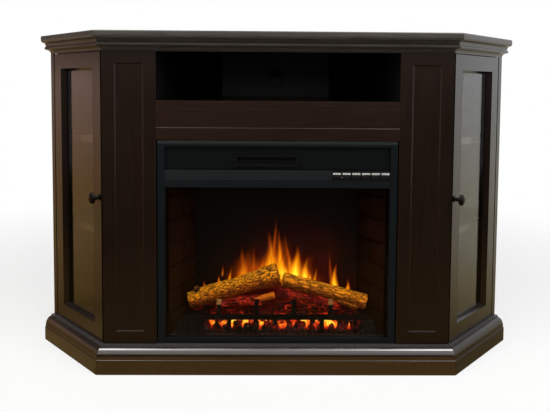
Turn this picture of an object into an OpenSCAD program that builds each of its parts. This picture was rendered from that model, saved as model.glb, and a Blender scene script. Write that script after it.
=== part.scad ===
// Corner fireplace: a V-backed media cabinet with canted glass doors and an electric insert.
// X runs to the right, Y to the back and Z up. The origin is on the floor, under the middle.

/* [Cabinet] */
// Thickness of the cabinet boards
board_t = 18; // [16:0.5:20]
// Thickness of the rear panel
back_t = 6; // [4:0.5:9]
// Width of the flat front, over both columns
front_w = 840; // [812:4:872]
// How far the canted sides run back, and outwards, from the front corners
cant_run = 188; // [180:1:200]
// Width of the flat rear panel
back_w = 400; // [360:5:440]
// Height of the base, up to the floor panel's top
base_h = 65; // [60:1:75]
// Height of the apron board over the media shelf's underside
header_h = 44.5; // [38:0.5:50]
// Height of the raised trim strip over the insert
trim_h = 30.5; // [26:0.5:36]
// Clear height of the media bay
media_h = 117; // [100:1:140]
// Height of the crown moulding under the top panel
crown_h = 27; // [25:0.5:32]
// How far the top and the base stand out from the cabinet's faces
overhang = 27; // [25:0.5:32]
// Play round a loose shelf
shelf_gap = 0.5; // [0.3:0.1:1]

/* [Mouldings] */
// Height of the base moulding's flat face
plinth_face_h = 36; // [30:1:42]
// How far the base's top ledge stands out from the cabinet
ledge_w = 9; // [7:0.5:11]
// Height of the ledge over the base moulding's round
ledge_h = 4; // [3:0.5:6]
// Step between the flat face and the round of the base
base_step = 2; // [1:0.5:3]
// How far the crown's bead stands out from the cabinet
bead_out = 17; // [15:0.5:18]
// Radius under the top panel's front edge
top_round = 7; // [5:0.5:8]
// Radius over the top panel's front edge
top_ease = 4; // [2:0.5:6]
// Border round a column's sunk field
field_border = 30; // [25:1:35]
// Depth of a column's sunk field
field_depth = 2.5; // [2:0.5:4]
// Width of the bevel round a sunk field
field_bevel = 3; // [2:0.5:4]
// How far the trim strip stands out from the apron
trim_proud = 3; // [2:0.5:5]

/* [Doors] */
// Thickness of a door
door_t = 20; // [19:0.5:22]
// Width of the stiles and rails
stile_w = 38; // [34:0.5:42]
// Gap between a door and the front column
knob_gap = 5; // [4:0.5:6]
// Gap between a door and the rear side panel
hinge_gap = 1.5; // [1.5:0.1:2.5]
// Gap over and under a door
door_gap = 2; // [2:0.1:3]
// Thickness of the door glass
pane_t = 3; // [3:0.5:4]
// Depth from the door's face to its glass
pane_depth = 14; // [12:0.5:14]
// How far the frame laps the door glass
pane_lap = 8; // [6:0.5:9]
// Width of the bevel round the door glass
sash_bevel = 6; // [4:0.5:8]
// Radius of the pivot pins
pivot_r = 2.5; // [2:0.1:3]
// Distance of the pivot pins from the door's edge and face
pivot_in = 6.5; // [6.4:0.1:7]
// Radius of the round on the pivot edge of a door
pivot_edge_r = 4; // [3.8:0.1:4.5]
// Running clearance round a shaft
shaft_gap = 0.05; // [0.03:0.01:0.08]
// Radius of a knob's head
knob_r = 14; // [12:0.5:16]
// How far a knob stands out
knob_out = 27; // [25:0.5:30]
// Height of the knobs over the floor
knob_z = 422; // [380:1:460]

/* [Shelves] */
// Heights of the cabinet shelves' undersides over the floor panel
shelf_heights = [251, 481];
// Radius of the shelf pins
pin_r = 2.5; // [2:0.5:3]
// Length of a shelf pin
pin_len = 16; // [14:1:18]

/* [Insert] */
// Width of the insert's trim frame
insert_w = 577; // [560:1:590]
// Height of the insert's trim frame
insert_h = 496; // [490:1:510]
// Reveal between the trim frame and the columns
insert_reveal = 2.5; // [2:0.1:4]
// Gap over and under the trim frame
insert_gap = 1; // [0.8:0.1:2]
// Face width of the trim frame's side bars
side_bar_w = 17; // [14:0.5:20]
// Face height of the trim frame's top bar
top_bar_h = 15; // [13:0.5:18]
// Face height of the trim frame's bottom bar
bottom_bar_h = 14; // [12:0.5:17]
// Depth of the trim frame
frame_depth = 12; // [11:0.5:15]
// Thickness of the insert's sheet steel
sheet_t = 1.5; // [1:0.1:2]
// Depth of the insert's case
case_depth = 186; // [180:1:200]
// Height of the heater slot under the top bar
slot_h = 56; // [52:1:60]
// Height of the control panel
control_h = 24; // [22:0.5:28]
// Height of the rail under the control panel
lower_rail_h = 17; // [15:0.5:20]
// Thickness of the front glass
front_glass_t = 4; // [3:0.5:5]
// Depth of the visible firebox
firebox_depth = 98; // [95:1:105]
// Half the width of the firebox at its flame screen
screen_half = 217; // [205:1:225]
// Thickness of the splayed liners
liner_t = 6; // [4:0.5:8]
// Width of the heater outlet
outlet_w = 156; // [140:1:170]
// Height of the heater outlet
outlet_h = 28; // [24:0.5:32]
// Middle of the heater outlet, from the insert's middle
outlet_x = -28; // [-40:1:0]
// Radius of the blower wheel
wheel_r = 20; // [16:0.5:21]
// Number of blades on the blower wheel
blades = 20; // [14:1:24]
// Width of a push button
button_w = 17; // [14:0.5:18]
// Height of a push button
button_h = 6; // [5:0.5:7]
// Distance between the push buttons
button_pitch = 23.4; // [21:0.1:24]
// Travel of a push button
button_travel = 1; // [0.8:0.1:1.5]
// Gap round a push button
button_gap = 0.35; // [0.3:0.05:0.5]

/* [Mounting] */
// Radius of the cable ports
port_r = 25; // [20:1:30]
// Radius of the wall-anchor holes
anchor_r = 2.5; // [2:0.1:3]
// Distance between the wall-anchor holes
anchor_pitch = 300; // [200:10:320]

/* [Hidden] */
$fn = 48;
over = 1;         // how far a cutter runs past the face that it cuts
joint = 0.2;      // hairline between the members of one frame
root2 = sqrt(2);
mitre = tan(22.5);
crown_clear = 3;  // from the crown moulding down to the doors

// Plan, measured from the cabinet's front plane before it is set about the origin
opening_half = insert_w / 2 + insert_reveal;
corner_x = front_w / 2;
column_w = corner_x - opening_half;
outer_x = corner_x + cant_run;
wall_sum = outer_x + cant_run;                 // x + y all along a rear side panel's outer face
wall_in = wall_sum - board_t * root2;          // the same along its inner face
back_y = wall_sum - back_w / 2;
rear_y = back_y - back_t;                      // front face of the rear panel
cant_len = cant_run * root2;
divider_x = opening_half + board_t;
front_y = -(back_y + overhang) / 2 + overhang;
reach = 2 * outer_x;                           // longer than any run of moulding

// Levels
insert_z = base_h + insert_gap;
trim_z = insert_z + insert_h + insert_gap;
apron_z = trim_z + trim_h;
shelf_z = apron_z + header_h;
media_z = shelf_z + board_t;
rail_z = media_z + media_h;
slab_z = rail_z + crown_h + door_gap;
total_h = slab_z + board_t;
crown_z = slab_z - crown_h;
anchor_drop = 20;                               // from the top panel down to the wall-anchor holes
anchor_z = slab_z - anchor_drop;
port_low = 90;                                  // cable ports, over the floor panel and the media shelf
port_high = 59;
port_heights = [base_h + port_low, media_z + port_high];

// Doors, along the canted side from the front corner
door_x0 = knob_gap;
door_x1 = cant_len - board_t - hinge_gap;
door_w = door_x1 - door_x0;
door_z0 = base_h + door_gap;
door_h = crown_z - crown_clear - door_z0;
door_z1 = door_z0 + door_h;
bay_rail_z = door_z1 + door_gap;
pivot_x = door_x1 - pivot_in;
sash_step = 1.5;                                // small step before the bevel round the glass
sash_depth = 12;                                // depth at which the bevel ends
lip_w = stile_w + sash_bevel;
pane_w = door_w - 2 * lip_w + 2 * pane_lap;
pane_h = door_h - 2 * lip_w + 2 * pane_lap;
pane_play = 0.5;
rebate_w = pane_w + 2 * pane_play;
rebate_h = pane_h + 2 * pane_play;
knob_x = 8;                                     // from the door's edge to the knob's middle
knob_stud_r = 2;
knob_stud = 12;
pin_in_door = 18;
bush_wall = 1.5;
bush_len = 10;
washer_t = 1.5;
pin_seat = 2;                                   // pin stops this far short of its bush's end
stop_gap = 0.4;
post_out = 17;                                  // corner post, past the door's free edge
post_back = 14;                                 // corner post, behind the column
magnet_r = 5;
magnet_len = 12;
magnet_in = 60;                                 // from the door's ends to the magnets
magnet_z = [door_z0 + magnet_in, door_z1 - magnet_in];
catch_in = 7;
catch_x = door_x0 + catch_in;
strike_r = 5.5;
strike_t = 1.5;

// Shelves
shelf_back = 10;                                // from a closed door to the shelves' front
shelf_front = door_t + shelf_back;
notch_x = corner_x - board_t - post_back * root2 - shelf_gap;
notch_y = (door_x0 + post_out + board_t * root2 + post_back) / root2 + shelf_gap;
pin_inset = 54;                                 // from a divider's ends to its pins
wall_pin_y = [72, 252];                         // pins along a rear side panel

// Insert
insert_half = insert_w / 2;
insert_y = 2;                                   // set back from the columns' faces
return_t = 4;                                   // thickness of the trim frame's folded edge
inner_half = insert_half - side_bar_w;
bar_play = 0.3;
fit_half = inner_half - bar_play;               // bars between the side bars
insert_top = insert_z + insert_h;
slot_z = insert_top - top_bar_h - slot_h;
bar_gap = 1;
control_z = slot_z - bar_gap - control_h;
lower_rail_z = control_z - bar_gap - lower_rail_h;
glass_z0 = insert_z + bottom_bar_h;
flange_t = 3;
glass_y = insert_y + flange_t;
glass_lap = 8;
case_y = insert_y + frame_depth;
case_in = 16;                                   // from the trim frame's edges to the case
case_drop = 4;
case_half = insert_half - case_in;
case_top = insert_top - case_drop;
deck_rise = 4;
deck_z = lower_rail_z + deck_rise;              // steel deck between the firebox and the heater
fire_y = case_y;
screen_y = fire_y + firebox_depth;
screen_t = 3;
bed_z = base_h + sheet_t;
liner_front = case_half - sheet_t;
hearth_h = 15.5;                                // flat strip in front of the embers
hearth_w = 20;
bank_w = 12;                                    // steep bank from the strip up to the embers
bank_top = 12;                                  // from the bank's top to the bed's top
bed_flat = 20;
bed_h = 49;

// Grate and logs: each log as its two ends [x, y, height over the bars] and its two radii
grate_y = 26;
grate_r = 3.5;                                  // of the arms
grate_half = 222;
grate_clear = 0.5;
grate_z = bed_z + bed_h + grate_r + grate_clear;
bar_h = 12;
bar_d = 8;
upright_w = 10;
upright_x = [-142, -49, 43, 134];
leg_x = [-192, -117, 113, 195];
upright_h = 35.5;                               // of the uprights over the arms, up to their square tips
tip_w = 11;
tip_h = 10;
arm_end = 12;                                   // from the arms' ends to the flame screen
log_r = 12;                                     // of the charred logs on the grate
log_play = 0.3;
low_logs = [[[-214, 68], [-12, 72]], [[-4, 72], [200, 62]]];
upper_logs = [
    [[-221, 62, 30], [8, 62, 99.5]],
    [[-190, 66, 34], [-203, 56, 66]],
    [[14, 56, 87], [226, 56, 27]],
    [[150, 54, 41], [204, 50, 18]],
    [[-56, 48, 36], [-4, 54, 48]],
    [[0, 62, 58], [132, 60, 22]],
    [[-140, 58, 27.5], [-36, 56, 36.5]]
];
upper_log_r = [[20, 30], [10, 6], [18.5, 16], [11, 9], [9, 14], [18, 14], [13, 15]];

// Heater and its blower
outlet_rise = 7;
outlet_z = slot_z + outlet_rise;
outlet_rim = 3;
grille_edge = 4;
grille_pitch = 6;
grille_slot = 4;
grille_slot_h = 3.5;
grille_rows = [4, 9];
wheel_y = 62;
wheel_z = outlet_z + outlet_h / 2;
wheel_in = 8;                                   // from the outlet's ends to the wheel's
wheel_len = outlet_w - 2 * wheel_in;
wheel_disc = 2;
blade_w = 6;
blade_t = 0.8;
shaft_r = 3;
shaft_out = 7;
scroll_gap = 5;
scroll_r = wheel_r + scroll_gap;
scroll_t = 1.5;
plate_gap = 3;                                  // from the wheel to the end plates
plate_t = 2;
plate_in = 2;
plate_edge = 3;
blower_motor_r = 16;
blower_motor_len = 29;
fin_pitch = 6;
fin_t = 1;
fin_h = 22;
fin_depth = 12;
fin_rail = 3;
fin_set = 4;

// Flicker drive and lights behind the flame screen
spindle_back = 40;
spindle_rise = 46;
spindle_y = screen_y + spindle_back;
spindle_z = base_h + spindle_rise;
spindle_half = 200;
spindle_r = 2.5;
tab_count = 4;                                  // tabs on either side of the middle one
tab_pitch = 42;
tab_w = 34;
tab_h = 28;
tab_t = 0.8;
bracket_t = 2;
bracket_w = 24;
bracket_top = 10;
bracket_in = 4;
motor_r = 17;
motor_len = 20;
led_half = 190;
led_h = 30;
led_t = 1.6;
led_count = 12;
led_pitch = 32;
led_z = 20;
led_r = 2.5;
led_out = 4;

// Buttons
button_rise = 8;
button_end = 12;
button_z = control_z + button_rise;
button_x1 = inner_half - button_end;            // middle of the last button
button_lip = 1.5;                               // flange round a button's back
button_flange = 1;
panel_t = 8;
plate_set = 6;                                  // upper panel, behind the control panel's face
bezel_t = 3;

// Inlet for a lead, in the case's rear
inlet_x = 200;
inlet_z = 120;
inlet_w = 28;
inlet_h = 20;
inlet_depth = 22;
inlet_play = 0.2;
inlet_wall = 3;
inlet_floor = 6;
inlet_ear = 5;
inlet_plate = 3;

// Crown moulding's cove and bead
bead_r = 3.6;
cove_h = 9;
cove_step = 0.8;
neck_w = 3;

espresso = "#2b1a14";
espresso_warm = "#33241a";
black_steel = "#1a1d1e";

// ---- Helpers -------------------------------------------------------------------------------

function ring_arc(cx, cy, rx, ry, a0, a1, steps = 8) =
    [for (i = [0 : steps]) let (a = a0 + (a1 - a0) * i / steps) [cx + rx * cos(a), cy + ry * sin(a)]];

// Sets a shape drawn from the front plane about the origin
module at_front() translate([0, front_y, 0]) children();

// Frame of the right canted side: X along it from the front corner, Y inwards
module on_cant() translate([corner_x, front_y, 0]) rotate([0, 0, 45]) children();

module left_copy() mirror([1, 0, 0]) children();

module both_sides() {
    children();
    left_copy() children();
}

// A moulding's outline [out, z] swept along X, out being -Y
module swept(points, x0, x1)
    translate([x1, 0, 0]) rotate([90, 0, -90]) linear_extrude(x1 - x0) polygon(points);

module front_wedge(out, depth)
    linear_extrude(total_h + over)
        polygon([
            [-corner_x - out * mitre, -out], [corner_x + out * mitre, -out],
            [corner_x - depth * mitre, depth], [-corner_x + depth * mitre, depth]
        ]);

module cant_wedge(out, depth, end)
    linear_extrude(total_h + over)
        polygon([[-out * mitre, -out], [end, -out], [end, depth], [depth * mitre, depth]]);

module front_moulding(points)
    at_front() intersection() {
        swept(points, -reach / 2, reach / 2);
        front_wedge(overhang + over, board_t);
    }

module cant_moulding(points, end = cant_len)
    on_cant() intersection() {
        swept(points, -reach / 2, reach / 2);
        cant_wedge(overhang + over, board_t, end);
    }

// Shallow pocket with a small step and bevelled sides, cut into the face at y = 0
module bevelled_pocket(w, h, depth, bevel, step = 0)
    intersection() {
        linear_extrude(h)
            polygon([
                [-w / 2, -over], [w / 2, -over], [w / 2, step], [w / 2 - bevel, depth],
                [bevel - w / 2, depth], [-w / 2, step]
            ]);
        rotate([90, 0, 90]) translate([0, 0, -w / 2]) linear_extrude(w)
            polygon([
                [-over, 0], [-over, h], [step, h], [depth, h - bevel], [depth, bevel], [step, 0]
            ]);
    }

// Rod along X
module rod_x(r, x0, x1) translate([x0, 0, 0]) rotate([0, 90, 0]) cylinder(r = r, h = x1 - x0);

// Rod along Y
module rod_y(r, y0, y1) translate([0, y1, 0]) rotate([90, 0, 0]) cylinder(r = r, h = y1 - y0);

// ---- Cabinet -------------------------------------------------------------------------------

// The cabinet's plan with its faces moved out, as far back as the rear limit
function plan(out, rear) = [
    [corner_x + out * mitre, -out],
    [outer_x + out / root2, cant_run - out / root2],
    [wall_sum - rear, rear],
    [rear - wall_sum, rear],
    [-outer_x - out / root2, cant_run - out / root2],
    [-corner_x - out * mitre, -out]
];

function slab_edge() = concat(
    [[-reach, slab_z], [overhang - top_round, slab_z]],
    ring_arc(overhang - top_round, slab_z + top_round, top_round, top_round, -90, 0),
    ring_arc(overhang - top_ease, total_h - top_ease, top_ease, top_ease, 0, 90),
    [[-reach, total_h]]);

module top_panel()
    color(espresso) intersection() {
        at_front() linear_extrude(total_h + over) polygon(plan(overhang + over, back_y));
        at_front() swept(slab_edge(), -reach, reach);
        on_cant() swept(slab_edge(), -reach, reach);
        left_copy() on_cant() swept(slab_edge(), -reach, reach);
        wall_side();
        left_copy() wall_side();
    }

// Everything on the room's side of the right wall plane
module wall_side()
    on_cant() translate([cant_len - 2 * reach, -reach, 0]) cube([2 * reach, 3 * reach, total_h + over]);

function crown_outline() =
    let (cove_w = bead_out - bead_r, bead_z = crown_z + cove_h + cove_step + bead_r,
         neck_z = bead_z + bead_r + cove_step)
    concat(
        ring_arc(cove_w, crown_z, cove_w, cove_h, 180, 90),
        ring_arc(cove_w, bead_z, bead_r, bead_r, -90, 90),
        ring_arc(bead_out + neck_w, neck_z, bead_r + neck_w, slab_z - neck_z, 180, 90),
        [[0, slab_z]]);

function base_outline() =
    let (face = overhang - base_step, round_z = plinth_face_h + base_step, round_top = base_h - ledge_h)
    concat(
        [[ledge_w, 0], [overhang, 0], [overhang, plinth_face_h], [face, plinth_face_h]],
        ring_arc(ledge_w, round_z, face - ledge_w, round_top - round_z, 0, 90, 12));

module crown_front() color(espresso) front_moulding(crown_outline());
module crown_right() color(espresso) cant_moulding(crown_outline());
module crown_left() color(espresso) left_copy() cant_moulding(crown_outline());

module base_front() color(espresso_warm) front_moulding(base_outline());
module base_right() color(espresso_warm) cant_moulding(base_outline());
module base_left() color(espresso_warm) left_copy() cant_moulding(base_outline());

module top_rails()
    color(espresso) {
        at_front() translate([-opening_half, 0, rail_z])
            cube([2 * opening_half, board_t, slab_z - rail_z]);
        both_sides() on_cant() difference() {
            translate([0, 0, bay_rail_z]) cube([cant_len - board_t, board_t, slab_z - bay_rail_z]);
            translate([pivot_x, pivot_in, bay_rail_z - over])
                cylinder(r = pivot_r + bush_wall, h = bush_len + over);
        }
    }

// Posts behind the front corners, which stop the doors and hold the magnets
module corner_posts()
    color(espresso) both_sides() on_cant() difference() {
        translate([0, 0, base_h]) linear_extrude(bay_rail_z - base_h)
            polygon([
                [0, door_t + stop_gap], [door_x0 + post_out, door_t + stop_gap],
                [door_x0 + post_out, board_t * root2 + post_back],
                [-post_back, board_t * root2 + post_back], [0, board_t * root2]
            ]);
        for (z = magnet_z)
            translate([catch_x, door_t + stop_gap, z]) rod_y(magnet_r, -over, magnet_len);
    }

module door_catches()
    color("silver") both_sides() on_cant() for (z = magnet_z)
        translate([catch_x, door_t + stop_gap, z]) rod_y(magnet_r, 0, magnet_len);

module column_right()
    color(espresso) at_front() difference() {
        translate([0, 0, base_h]) linear_extrude(slab_z - base_h)
            polygon([
                [opening_half, 0], [corner_x, 0], [corner_x - board_t, board_t],
                [opening_half, board_t]
            ]);
        translate([opening_half + column_w / 2, 0, base_h + field_border])
            bevelled_pocket(column_w - 2 * field_border, crown_z - base_h - 2 * field_border,
                field_depth, field_bevel);
    }

module column_left() left_copy() column_right();

module divider_right()
    color(espresso) at_front() difference() {
        translate([0, 0, base_h]) linear_extrude(slab_z - base_h)
            polygon([
                [opening_half, board_t], [divider_x, board_t],
                [divider_x, wall_in - divider_x], [opening_half, wall_in - opening_half]
            ]);
        divider_pins(-over);
    }

module divider_left() left_copy() divider_right();

module side_panel_right()
    color(espresso) difference() {
        at_front() linear_extrude(slab_z)
            polygon([
                [outer_x, cant_run], [wall_sum - rear_y, rear_y], [wall_in - rear_y, rear_y],
                [outer_x - board_t / root2, cant_run - board_t / root2]
            ]);
        wall_pins(-over);
    }

module side_panel_left() left_copy() side_panel_right();

module back_panel()
    color(espresso_warm) at_front() difference() {
        translate([-back_w / 2, rear_y, 0]) cube([back_w, back_t, slab_z]);
        for (z = port_heights)
            translate([0, rear_y, z]) rod_y(port_r, -over, back_t + over);
        for (x = [-anchor_pitch / 2, anchor_pitch / 2])
            translate([x, rear_y, anchor_z]) rod_y(anchor_r, -over, back_t + over);
    }

module floor_panel()
    color(espresso_warm) difference() {
        at_front() translate([0, 0, base_h - board_t]) linear_extrude(board_t) difference() {
            polygon(plan(ledge_w, rear_y));
            for (side = [-1, 1])
                polygon([
                    [side * outer_x, cant_run],
                    [side * (outer_x + over), cant_run + 3 * over],
                    [side * (wall_sum - rear_y + over), rear_y + over],
                    [side * (wall_in - rear_y - over), rear_y + over],
                    [side * (outer_x - board_t / root2), cant_run - board_t / root2]
                ]);
        }
        both_sides() on_cant()
            translate([pivot_x, pivot_in, base_h - bush_len])
                cylinder(r = pivot_r + bush_wall, h = bush_len + over);
    }

function plinth_outline() = [
    [ledge_w - board_t, 0], [ledge_w, 0], [ledge_w, base_h - board_t],
    [ledge_w - board_t, base_h - board_t]
];

module plinth_frame()
    color(espresso_warm) {
        front_moulding(plinth_outline());
        both_sides() {
            cant_moulding(plinth_outline(), cant_len - board_t);
            cant_moulding([[0, 0], [ledge_w, 0], [ledge_w, base_h - board_t], [0, base_h - board_t]]);
            at_front() translate([opening_half, board_t - ledge_w, 0]) linear_extrude(base_h - board_t)
                polygon([
                    [0, 0], [board_t, 0], [board_t, wall_in - divider_x - board_t + ledge_w],
                    [0, wall_in - opening_half - board_t + ledge_w]
                ]);
        }
        at_front() translate([rear_y - wall_in + board_t, rear_y - board_t, 0])
            cube([2 * (wall_in - rear_y - board_t), board_t, base_h - board_t]);
    }

module media_shelf()
    color(espresso_warm) at_front() translate([0, 0, shelf_z]) linear_extrude(board_t)
        polygon([
            [-opening_half, 0], [opening_half, 0], [opening_half, wall_in - opening_half],
            [wall_in - rear_y, rear_y], [rear_y - wall_in, rear_y],
            [-opening_half, wall_in - opening_half]
        ]);

module header_rail()
    color(espresso_warm) at_front() translate([-opening_half, 0, apron_z])
        cube([2 * opening_half, board_t, header_h]);

// Raised strip over the insert, with a bevel along its top edge
module header_trim()
    color("#36201a") at_front()
        swept([
            [-board_t, trim_z], [trim_proud - 1, trim_z], [trim_proud, trim_z + 1],
            [trim_proud, apron_z - 2], [trim_proud - 2, apron_z], [-board_t, apron_z]
        ], -opening_half, opening_half);

module cabinet_shelves()
    color(espresso) both_sides() at_front() for (h = shelf_heights) {
        wall = cant_len - board_t - shelf_gap;
        x0 = divider_x + shelf_gap;
        translate([0, 0, base_h + h]) linear_extrude(board_t)
            polygon([
                [x0, board_t + shelf_gap], [notch_x, board_t + shelf_gap], [notch_x, notch_y],
                [corner_x + notch_y - shelf_front * root2, notch_y],
                [corner_x + (wall - shelf_front) / root2, (wall + shelf_front) / root2],
                [x0, wall_in - shelf_gap * root2 - x0]
            ]);
    }

// Pins in the divider, at each shelf, with a length of hole past their seat
module divider_pins(extra = 0)
    for (h = shelf_heights, y = [pin_inset, wall_in - divider_x - pin_inset])
        translate([0, y, base_h + h - pin_r])
            rod_x(pin_r, divider_x - pin_len / 2, divider_x + (extra < 0 ? over : pin_len / 2));

module wall_pins(extra = 0)
    on_cant() for (h = shelf_heights, y = wall_pin_y)
        translate([cant_len - board_t, y, base_h + h - pin_r])
            rod_x(pin_r, extra < 0 ? -over : -pin_len / 2, pin_len / 2);

module shelf_pins()
    color("silver") both_sides() {
        at_front() divider_pins();
        wall_pins();
    }

// ---- Doors ---------------------------------------------------------------------------------

module bush() {
    difference() {
        union() {
            cylinder(r = pivot_r + bush_wall, h = bush_len);
            translate([0, 0, bush_len]) cylinder(r = pivot_r + 2 * bush_wall, h = washer_t);
        }
        translate([0, 0, -over]) cylinder(r = pivot_r + shaft_gap, h = bush_len + washer_t + 2 * over);
    }
}

module pivot_bushes()
    color("ivory") both_sides() on_cant() translate([pivot_x, pivot_in, 0]) {
        translate([0, 0, base_h - bush_len]) bush();
        translate([0, 0, bay_rail_z + bush_len]) mirror([0, 0, 1]) bush();
    }

module door_blank()
    translate([0, 0, door_z0]) linear_extrude(door_h) union() {
        translate([door_x0, 0]) square([door_w - pivot_edge_r, door_t]);
        translate([door_x1 - pivot_edge_r, pivot_edge_r])
            square([pivot_edge_r, door_t - pivot_edge_r]);
        translate([door_x1 - pivot_edge_r, pivot_edge_r]) circle(r = pivot_edge_r);
    }

module door_window() {
    translate([door_x0 + door_w / 2, 0, door_z0 + stile_w])
        bevelled_pocket(door_w - 2 * stile_w, door_h - 2 * stile_w, sash_depth, sash_bevel, sash_step);
    translate([door_x0 + lip_w, sash_depth - over, door_z0 + lip_w])
        cube([door_w - 2 * lip_w, door_t, door_h - 2 * lip_w]);
    translate([door_x0 + (door_w - rebate_w) / 2, pane_depth, door_z0 + (door_h - rebate_h) / 2])
        cube([rebate_w, door_t, rebate_h]);
}

// Two stiles and two rails, parted by a hairline where they meet
module door_right_frame()
    color("#33211b") on_cant() difference() {
        door_blank();
        door_window();
        for (x = [door_x0 + lip_w, door_x1 - lip_w])
            translate([x - joint / 2, -over, 0]) cube([joint, door_t + 2 * over, total_h]);
        for (z = [door_z0 - over, door_z1 - pin_in_door])
            translate([pivot_x, pivot_in, z]) cylinder(r = pivot_r, h = pin_in_door + over);
        for (z = magnet_z)
            translate([catch_x, door_t, z]) rod_y(strike_r, -strike_t, over);
        translate([door_x0 + knob_x, 0, knob_z]) rod_y(knob_stud_r, -over, knob_stud);
    }

module door_left_frame() left_copy() door_right_frame();

module door_right_glass()
    color("lightgray", 0.4) on_cant()
        translate([door_x0 + (door_w - pane_w) / 2, pane_depth, door_z0 + (door_h - pane_h) / 2])
            cube([pane_w, pane_t, pane_h]);

module door_left_glass() left_copy() door_right_glass();

// Strips that hold the glass from behind
module door_right_beads()
    color("#1d1714") on_cant() {
        bead_w = pane_lap + pane_play;
        x0 = door_x0 + (door_w - rebate_w) / 2;
        z0 = door_z0 + (door_h - rebate_h) / 2;
        y0 = pane_depth + pane_t;
        for (x = [x0, x0 + rebate_w - bead_w])
            translate([x, y0, z0]) cube([bead_w, door_t - y0, rebate_h]);
        for (z = [z0, z0 + rebate_h - bead_w])
            translate([x0 + bead_w + joint, y0, z])
                cube([rebate_w - 2 * bead_w - 2 * joint, door_t - y0, bead_w]);
    }

module door_left_beads() left_copy() door_right_beads();

// Outline of the turned knob: radius, distance from the door's face
function knob_outline() =
    let (neck = 3.6, ball = 5.6, ball_y = 8, head_y = 14)
    concat(
        [[0, 0], [8, 0], [8, 1.5], [5, 2.8]],
        ring_arc(0, ball_y, ball, ball * 0.8, -50, 50, 8),
        [[neck, head_y - 1]],
        ring_arc(0, head_y + 5, knob_r, 5, -75, 0, 6),
        ring_arc(0, head_y + 5, knob_r, knob_out - head_y - 5, 0, 90, 8));

module door_right_knob()
    color("#1c1815") on_cant() translate([door_x0 + knob_x, 0, knob_z]) {
        rotate([90, 0, 0]) rotate_extrude() polygon(knob_outline());
        rod_y(knob_stud_r, 0, knob_stud);
    }

module door_left_knob() left_copy() door_right_knob();

// Pivot pins, and the strike plates that the magnets hold
module door_right_fittings()
    color("silver") on_cant() {
        pin_len_all = pin_in_door + door_gap + bush_len - pin_seat;
        translate([pivot_x, pivot_in, 0]) {
            translate([0, 0, base_h - bush_len + pin_seat]) cylinder(r = pivot_r, h = pin_len_all);
            translate([0, 0, door_z1 - pin_in_door]) cylinder(r = pivot_r, h = pin_len_all);
        }
        for (z = magnet_z)
            translate([catch_x, door_t, z]) rod_y(strike_r, -strike_t, 0);
    }

module door_left_fittings() left_copy() door_right_fittings();

// ---- Insert --------------------------------------------------------------------------------

// Side bars full height, and the top and bottom bars between them, folded from sheet
module trim_frame()
    color(black_steel) at_front() translate([0, insert_y, insert_z]) {
        both_sides() translate([inner_half, 0, 0]) {
            cube([side_bar_w, flange_t, insert_h]);
            translate([side_bar_w - return_t, 0, 0]) cube([return_t, frame_depth, insert_h]);
        }
        bar_len = 2 * (inner_half - joint);
        translate([-bar_len / 2, 0, 0]) {
            cube([bar_len, flange_t, bottom_bar_h]);
            cube([bar_len, frame_depth, return_t]);
        }
        translate([-bar_len / 2, 0, insert_h - top_bar_h]) {
            cube([bar_len, flange_t, top_bar_h]);
            translate([0, 0, top_bar_h - return_t]) cube([bar_len, frame_depth, return_t]);
        }
    }

module insert_case()
    color("#222426") at_front() {
        side_z = base_h + sheet_t + joint;
        side_h = case_top - sheet_t - joint - side_z;
        rear = case_y + case_depth;
        translate([-case_half, case_y, base_h]) cube([2 * case_half, case_depth, sheet_t]);
        translate([-case_half, case_y, case_top - sheet_t]) cube([2 * case_half, case_depth, sheet_t]);
        both_sides() translate([case_half - sheet_t, case_y, side_z])
            cube([sheet_t, case_depth, side_h]);
        difference() {
            translate([joint + sheet_t - case_half, rear - sheet_t, side_z])
                cube([2 * (case_half - sheet_t - joint), sheet_t, side_h]);
            translate([inlet_x - inlet_w / 2, rear - sheet_t - over, inlet_z - inlet_h / 2])
                cube([inlet_w, sheet_t + 2 * over, inlet_h]);
        }
        translate([joint + sheet_t - case_half, case_y, deck_z])
            cube([2 * (case_half - sheet_t - joint), case_depth - sheet_t - joint, sheet_t]);
    }

// Socket for a detachable lead in the case's rear
module power_inlet()
    color("#111111") at_front() translate([inlet_x, case_y + case_depth, inlet_z]) difference() {
        union() {
            translate([-inlet_w / 2 - inlet_ear, 0, -inlet_h / 2 - inlet_plate])
                cube([inlet_w + 2 * inlet_ear, inlet_plate, inlet_h + 2 * inlet_plate]);
            translate([inlet_play - inlet_w / 2, -inlet_depth, inlet_play - inlet_h / 2])
                cube([inlet_w - 2 * inlet_play, inlet_depth + over, inlet_h - 2 * inlet_play]);
        }
        translate([inlet_wall - inlet_w / 2, inlet_floor - inlet_depth, inlet_wall - inlet_h / 2])
            cube([inlet_w - 2 * inlet_wall, inlet_depth, inlet_h - 2 * inlet_wall]);
    }

// Recessed plate over the control panel, cut out for the heater
module upper_panel()
    color("#15181a") at_front() difference() {
        translate([-inner_half - glass_lap, insert_y + plate_set, slot_z])
            cube([2 * (inner_half + glass_lap), frame_depth - plate_set, slot_h + glass_lap]);
        translate([outlet_x - outlet_w / 2 + outlet_rim, insert_y, outlet_z + outlet_rim])
            cube([outlet_w - 2 * outlet_rim, 2 * frame_depth, outlet_h - 2 * outlet_rim]);
    }

// Bezel with a deflector over a slotted screen
module heater_grille()
    color("#0e1011") at_front()
        translate([outlet_x - outlet_w / 2, insert_y + plate_set - bezel_t, outlet_z]) difference() {
            cube([outlet_w, bezel_t, outlet_h]);
            translate([grille_edge, -over, outlet_h / 2 + 1])
                cube([outlet_w - 2 * grille_edge, bezel_t + 2 * over, outlet_h / 2 - grille_edge - 1]);
            for (x = [grille_pitch : grille_pitch : outlet_w - grille_edge - grille_pitch], z = grille_rows)
                translate([x, -over, z]) cube([grille_slot, bezel_t + 2 * over, grille_slot_h]);
        }

function button_x(i) = button_x1 - (5 - i) * button_pitch;

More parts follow.
